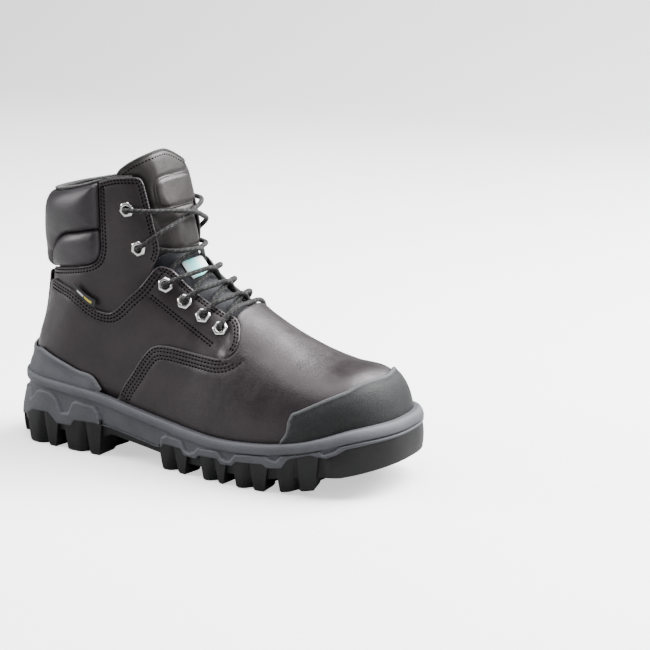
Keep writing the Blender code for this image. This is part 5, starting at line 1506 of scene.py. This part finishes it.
def printed_tag():
    """A black woven tag with one white and one yellow bar."""
    m = Shader("tag_print", 0.8)
    across = m.attribute("across")
    bars = m.ramp(across, ((0.0, DARK_WEAVE), (0.14, (0.55, 0.55, 0.52)), (0.42, DARK_WEAVE),
                           (0.47, (0.5, 0.4, 0.03)), (0.84, DARK_WEAVE)))
    middle = m.ramp(m.attribute("down"), ((0.0, 0.0), (0.38, 1.0), (0.66, 0.0)))
    for made in m.tree.nodes:
        if made.bl_idname == "ShaderNodeValToRGB":
            made.color_ramp.interpolation = "CONSTANT"
    m.colour(m.mix(middle, DARK_WEAVE, m.mix(m.math("MULTIPLY", m.noise(1500), 0.35), bars, DARK_WEAVE)))
    m.bump(m.math("MULTIPLY", m.wave(1500, "X"), m.wave(1500, "Z")), 0.1, 0.6)
    return m.material


TAG_PRINT = printed_tag()


# ---------------------------------------------------------------- cords, tapes and eyelets
def resample_path(path, step):
    """The path as a smooth run of points about this far apart."""
    length = arc_length(path)
    return spline(np.c_[length, path], np.linspace(0, length[-1], int(length[-1] / step) + 2))


def frames_along(path):
    """Tangent, up and side vectors along a path, without sudden twists."""
    tangent = np.gradient(path, axis=0)
    tangent /= np.linalg.norm(tangent, axis=1, keepdims=True)
    up = np.array([0.0, 0.0, 1.0]) if abs(tangent[0][2]) < 0.9 else np.array([1.0, 0.0, 0.0])
    ups = []
    for t in tangent:
        up = up - t * (up @ t)
        up /= np.linalg.norm(up)
        ups.append(up)
    ups = np.array(ups)
    return tangent, ups, np.cross(tangent, ups)


def tube(parts, path, radius, sides, relief=None, values=None):
    """A round bar along a path with domed ends. relief(along, angle) is added to its radius."""
    _, up, side = frames_along(path)
    n = len(path)
    radii = np.full(n, float(radius))
    radii[0] = radii[-1] = 0.35 * radius
    radii[1] = radii[-2] = 0.8 * radius
    angle = np.linspace(0, 2 * math.pi, sides + 1)[:-1]
    along = arc_length(path)
    r = np.repeat(radii[:, None], sides, 1)
    if relief:
        r = r + relief(along[:, None], angle[None])
    points = (path[:, None] + (r * np.cos(angle))[..., None] * up[:, None]
              + (r * np.sin(angle))[..., None] * side[:, None]).reshape(-1, 3)
    faces = grid_faces(n, sides, True)
    last = (n - 1) * sides
    faces += [tuple(range(sides))[::-1], tuple(last + k for k in range(sides))]
    parts.add(points, faces, values(along[:, None], angle[None]).ravel() if values else None)


# The collar's top edge behind the eyelet flaps, as (x, z) in the side view
COLLAR_LINE = ((66.0, 197.6), (54.2, 196.7), (47.0, 194.9), (40.0, 193.3), (30.0, 190.3), (16.0, 186.9),
               (1.8, 184.2), (-9.0, 182.6))


def collar_binding():
    """The woven tape over the collar's top edge. In front it runs on behind the eyelet flaps."""
    count, sides = 240, 16
    medial = trace(COLLAR_LINE, 1, 90)
    lateral = trace(COLLAR_LINE, -1, 90) + (0, 2)
    run = np.vstack([medial, [((lateral[-1][0] + medial[-1][0]) / 2, 1.0)], lateral[::-1]])
    run = unflat(evenly(flat(run), count))
    share = np.minimum(np.linspace(0, 1, count), np.linspace(1, 0, count)) * 2
    behind = smoothstep(0.30, 0.24, share)
    out = normal_at(*run.T)
    path = surface(run[:, 0] + 0.003, run[:, 1], -1.7 - 2.3 * behind)
    along = np.gradient(path, axis=0)
    along /= np.linalg.norm(along, axis=1, keepdims=True)
    up = np.cross(along, out)
    up /= np.linalg.norm(up, axis=1, keepdims=True)
    angle = np.linspace(0, 2 * math.pi, sides + 1)[:-1]
    wide = 2.5 - 1.0 * behind
    rows = (path[:, None] + (wide[:, None] * np.cos(angle))[..., None] * out[:, None]
            + (1.25 * np.sin(angle))[None, :, None] * up[:, None])
    last = (count - 1) * sides
    ends = [tuple(range(sides))[::-1], tuple(last + k for k in range(sides))]
    tape = Parts()
    tape.add(rows.reshape(-1, 3), grid_faces(count, sides, True) + ends)
    fit(tape.build("collar_tape", TAPE), riding("shaft"), "collar_binding")


EYELET_RISE, EYELET_HEAD, EYELET_BORE, EYELET_HEX = 0.25, 1.25, 2.6, 5.5


def eyelet_places(side):
    """(s, phi, leather level) of each eyelet, from the lowest up."""
    lower = [(*locate(x, z, side), LEVEL_2) for x, z in LOWER_EYELETS[::-1]]
    return lower + [(*locate(x, z, side), LEVEL_1) for x, z in UPPER_EYELETS[::-1]]


def eyelet(name, node, s, phi, level, row):
    """A flared tube through the leather under a bevelled hexagonal head with a round, rolled bore."""
    centre, axis = surface(s, phi), normal_at(s, phi)
    up = np.cross(axis, surface(s, phi + 1e-3) - centre)
    up /= np.linalg.norm(up)
    across = np.cross(axis, up)
    sides = 48
    turns = np.linspace(0, 2 * math.pi, sides + 1)[:-1]
    sector = (turns + math.pi / 6) % (math.pi / 3) - math.pi / 6
    hexagon = math.cos(math.pi / 6) / np.cos(sector)
    soft_hex = np.minimum(hexagon, 0.965)
    base, top = level[1] + EYELET_RISE - 0.2, level[1] + EYELET_RISE + EYELET_HEAD

    def ring(radius, height, share):
        r = radius * (1 - share + share * soft_hex / 0.965)
        return (centre + axis * height + (r * np.cos(turns))[:, None] * up
                + (r * np.sin(turns))[:, None] * across)

    bore, rim = EYELET_BORE, EYELET_HEX
    profile = ((bore, level[0] - 0.6, 0), (bore + 0.9, level[0] - 0.75, 0), (bore + 1.0, level[0] - 0.4, 0),
               (bore + 0.6, level[0] - 0.2, 0), (bore + 0.6, base, 0), (rim, base, 1), (rim, base + 0.55, 1),
               (rim - 0.25, base + 0.85, 1), (rim - 1.0, top - 0.12, 1), (rim - 1.5, top, 0.8),
               (bore + 0.75, top + 0.05, 0), (bore + 0.3, top - 0.1, 0), (bore, top - 0.5, 0))
    rings = [ring(*p) for p in profile]
    faces = []
    count = len(rings)
    for r in range(count):
        for k in range(sides):
            a, b = r * sides + k, r * sides + (k + 1) % sides
            c, d = (r + 1) % count * sides + (k + 1) % sides, (r + 1) % count * sides + k
            faces.append((a, b, c, d))
    obj = add_mesh(name, np.concatenate(rings), faces, NICKEL, smooth_angle=28)
    follow = flex_ankle if row == 3 else riding("shaft" if row > 3 else "foot")
    fit(obj, follow, node)


LACE_RADIUS = 1.62
LACE_ROOM = 1.7               # the lace's centre line stands this far from what it lies on
LACE_PLAY = 0.35
HEAD_RISE = 1.35              # the eyelet heads above the leather, as the lace meets them
EDGE_PHI = (0.125, 0.125, 0.12, 0.12, 0.168, 0.21)        # the flaps' front edges, from the lowest eyelet up
OVER_RISE = 3.9
TONGUE_ROOM = 1.3             # the two upper crossings stand off the tongue, which can lean into them


def under_flap(level):
    """Offset of the lace's centre line where it lies under the leather."""
    return level[0] - 0.3 - LACE_ROOM - LACE_PLAY


def strand(start, end, over):
    """Waypoints (s, phi, offset) of one crossing. start and end are (row, side, mode, places)."""
    ends = []
    for row, side, mode, places in (start, end):
        s, phi, level = places[row]
        edge = EDGE_PHI[row]
        if mode == "out":
            hole = (s, phi, level[1] + HEAD_RISE + LACE_ROOM + LACE_PLAY)
            rim = (s, side * edge, level[1] + HEAD_RISE + LACE_ROOM + 0.4)
            gap = (s, side * (edge - 0.05), max(level[1], 0.8) + LACE_ROOM + 0.5)
        else:
            hole = (s, phi, under_flap(level))
            rim = (s, side * edge, level[0] - LACE_ROOM - 0.7)
            gap = (s, side * (edge - 0.055), (1.2 if row > 3 else -0.4) + 0.2 * LACE_ROOM)
        ends.append((hole, rim, gap))
    (a_hole, a_rim, a_gap), (b_hole, b_rim, b_gap) = ends
    toward = lambda p, q, t: (p[0] + (q[0] - p[0]) * t, p[1], p[2])
    room = TONGUE_ROOM if max(start[0], end[0]) > 4 else 0.0
    middle = ((a_hole[0] + b_hole[0]) / 2, 0.0, 2.8 + room + (OVER_RISE if over else 0.0))
    share = lambda p: 0.5 * (1 - abs(p[1]) / max(abs(a_hole[1]), abs(b_hole[1])))
    return [a_hole, toward(a_rim, b_hole, share(a_rim)), toward(a_gap, b_hole, share(a_gap)), middle,
            toward(b_gap, a_hole, share(b_gap)), toward(b_rim, a_hole, share(b_rim)), b_hole]


def lace_runs():
    """The crossings in order, from the outer top eyelet down and back up to the inner one."""
    outer, inner = eyelet_places(-1), eyelet_places(1)
    stop = lambda side, row, mode: (row, side, mode, outer if side < 0 else inner)
    order = [(-1, 5, "out", 1, 4, "out", True), (1, 4, "in", -1, 3, "in", False),
             (-1, 3, "out", 1, 2, "in", True), (1, 2, "out", -1, 1, "in", False),
             (-1, 1, "out", 1, 0, "in", True), (1, 0, "out", -1, 0, "out", False),
             (-1, 0, "in", 1, 1, "out", False), (1, 1, "in", -1, 2, "out", True),
             (-1, 2, "in", 1, 3, "out", False), (1, 3, "in", -1, 4, "in", True),
             (-1, 4, "out", 1, 5, "out", False)]
    return [strand(stop(a, r, m), stop(b, q, n), over) for a, r, m, b, q, n, over in order]


TIP_PHI = 0.30                # where the lace's ends lie behind the flaps


def lace_end(side):
    s, phi, level = eyelet_places(side)[-1]
    depth = under_flap(level)
    return [surface(s + ds, side * TIP_PHI, depth) for ds in (0.026, 0.014)] + [surface(s, phi, depth)]


def lace_path():
    path = lace_end(-1)
    for run in lace_runs():
        points = surface(*np.array(run).T)
        length = arc_length(points)
        path += list(spline(np.c_[length, points], np.linspace(0, length[-1], max(6, int(length[-1] / 6.0)))))
    return np.array(path + lace_end(1)[::-1])


def lace():
    """One braided cord through all twelve eyelets, with light flecks."""
    def braid(along, angle):
        return 0.1 * (np.sin(4 * angle + along * 3.0) + np.sin(4 * angle - along * 3.0))

    def fleck(along, angle):
        weave = np.sin(4 * angle + along * 3.0) * np.sin(4 * angle - along * 3.0)
        return 0.7 * smoothstep(0.35, 0.8, weave) * smoothstep(0.2, 0.7, np.sin(along * 1.5 + 2 * angle))

    path = lace_path()
    steps = arc_length(path)
    keep = np.concatenate([[True], np.diff(steps) > 1e-6])
    cord = Parts()
    tube(cord, resample_path(path[keep], 0.55), LACE_RADIUS, 20, braid, fleck)
    obj = cord.build("lace_cord", LACE_BRAID, "fleck", 80)
    fit(obj, flex_ankle, "lace")


def aglet(side, word):
    """The plastic end of the lace, with two crimps."""
    s, _, level = eyelet_places(side)[-1]
    depth = under_flap(level)
    path = np.array([surface(s + ds, side * TIP_PHI, depth) for ds in np.linspace(0.029, 0.066, 8)])
    tip = Parts()
    crimps = lambda along, angle: (-0.1 * ((along > 3) & (along < 4)) - 0.1 * ((along > 7) & (along < 8))
                                   + 0 * angle)
    tube(tip, resample_path(path, 0.5), 1.5, 20, crimps)
    fit(tip.build(f"lace_tip_{word}", AGLET_PLASTIC), riding("shaft"), f"aglet_{word}")


def clear_plastic():
    m = Shader("lace_tip", 0.22)
    m.colour(m.ramp(m.noise(400), ((0.3, (0.012, 0.012, 0.013)), (0.7, (0.03, 0.03, 0.032)))))
    m.main.inputs["Coat Weight"].default_value = 0.6
    return m.material


AGLET_PLASTIC = clear_plastic()


# ---------------------------------------------------------------- build
sole()
vamp()
for a_side, a_word in SIDES:
    quarter(a_side, a_word)
    shaft(a_side, a_word)
toe_guard()
heel_clip()
backstay()
lower_pads()
upper_pad()
tongue()
lining()
gusset()
tongue_label()
side_tag()
collar_binding()
lace()
for a_side, a_word in SIDES:
    for a_row, (a_s, a_phi, a_level) in enumerate(eyelet_places(a_side)):
        eyelet(f"hex_eyelet_{a_word}_{a_row + 1}", f"eyelet_{a_word}_{a_row + 1}", a_s, a_phi, a_level, a_row)
    aglet(a_side, a_word)
vamp_seams = VAMP_SEAMS.build("vamp_seams", THREAD)
flex_toe(vamp_seams)
ankle_seams = ANKLE_SEAMS.build("upper_seams", THREAD)
flex_ankle(ankle_seams)
# These three stay as their CAD meshes inside the boot
for kept_node, kept_material in (("steel_toe_cap", STEEL), ("steel_shank", STEEL),
                                 ("heel_counter", FIBRE_BOARD)):
    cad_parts[kept_node].data.materials.clear()
    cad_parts[kept_node].data.materials.append(kept_material)


# ---------------------------------------------------------------- floor, light and camera
PAPER_BOUNCE = 0.34           # how much light the paper gives back to the boot
PAPER_GLOW = 0.85             # even brightness that only the camera sees on the paper
SKY_BOUNCE, SKY_SEEN = 0.26, 1.0


def floor():
    mesh = bpy.data.meshes.new("floor")
    size, back, high = 3.0, 1.6, 2.0
    low, bend = -0.0002, 0.8
    profile = [(-size, low), (back, low)]
    profile += [(back + bend * math.sin(a), low + bend * (1 - math.cos(a)))
                for a in np.linspace(0, math.pi / 2, 12)[1:]]
    profile.append((back + bend, high + bend))
    points = [(x, y, z) for y, z in profile for x in (-size * 1.6, size * 1.6)]
    faces = [(2 * k, 2 * k + 1, 2 * k + 3, 2 * k + 2) for k in range(len(profile) - 1)]
    mesh.from_pydata(points, [], faces)
    mesh.shade_smooth()
    m = Shader("paper", 0.85)
    seen = m.node("ShaderNodeLightPath").outputs["Is Camera Ray"]
    paper = m.ramp(m.noise(3), ((0.3, (0.80, 0.80, 0.80)), (0.7, (0.83, 0.83, 0.83))))
    m.colour(m.mix(seen, (PAPER_BOUNCE,) * 3, paper))
    m.main.inputs["Emission Color"].default_value = (1.0, 1.0, 1.0, 1.0)
    m.link(m.math("MULTIPLY", seen, PAPER_GLOW), m.main.inputs["Emission Strength"])
    mesh.materials.append(m.material)
    obj = bpy.data.objects.new("floor", mesh)
    bpy.context.scene.collection.objects.link(obj)


def area_light(name, place, target, size, power):
    data = bpy.data.lights.new(name, "AREA")
    data.size = size
    data.energy = power
    obj = bpy.data.objects.new(name, data)
    obj.location = place
    obj.rotation_euler = (Vector(target) - Vector(place)).to_track_quat("-Z", "Y").to_euler()
    bpy.context.scene.collection.objects.link(obj)


CAMERA_AZIMUTH, CAMERA_ELEVATION = 29.0, 13.8
CAMERA_PLACE = (0.8365, -1.1507, 0.4277)
FOCAL_SHARE = 3.104          # focal length as a share of the frame's width


def camera():
    azimuth, elevation = math.radians(CAMERA_AZIMUTH), math.radians(CAMERA_ELEVATION)
    ahead = Vector((-math.sin(azimuth) * math.cos(elevation), math.cos(azimuth) * math.cos(elevation),
                    -math.sin(elevation)))
    data = bpy.data.cameras.new("view")
    data.sensor_width = 36.0
    data.lens = 36.0 * FOCAL_SHARE
    obj = bpy.data.objects.new("view", data)
    obj.location = CAMERA_PLACE
    obj.rotation_euler = ahead.to_track_quat("-Z", "Y").to_euler()
    bpy.context.scene.collection.objects.link(obj)
    bpy.context.scene.camera = obj


def pale_world():
    world = bpy.data.worlds.new("studio")
    world.use_nodes = True
    background = world.node_tree.nodes["Background"]
    background.inputs["Color"].default_value = (0.95, 0.97, 1.0, 1.0)
    seen = world.node_tree.nodes.new("ShaderNodeLightPath").outputs["Is Camera Ray"]
    strength = world.node_tree.nodes.new("ShaderNodeMapRange")
    strength.inputs["To Min"].default_value = SKY_BOUNCE
    strength.inputs["To Max"].default_value = SKY_SEEN
    world.node_tree.links.new(seen, strength.inputs["Value"])
    world.node_tree.links.new(strength.outputs["Result"], background.inputs["Strength"])
    bpy.context.scene.world = world


floor()
pale_world()
camera()
middle = (0.1, 0.0, 0.09)
area_light("back_top", (0.85, 0.75, 1.25), middle, 1.4, 170)
area_light("overhead", (0.0, -0.25, 1.6), middle, 1.3, 40)
area_light("front_right", (1.3, -0.9, 0.8), middle, 0.8, 10)
area_light("front_left", (-1.4, -0.7, 0.7), middle, 0.7, 30)
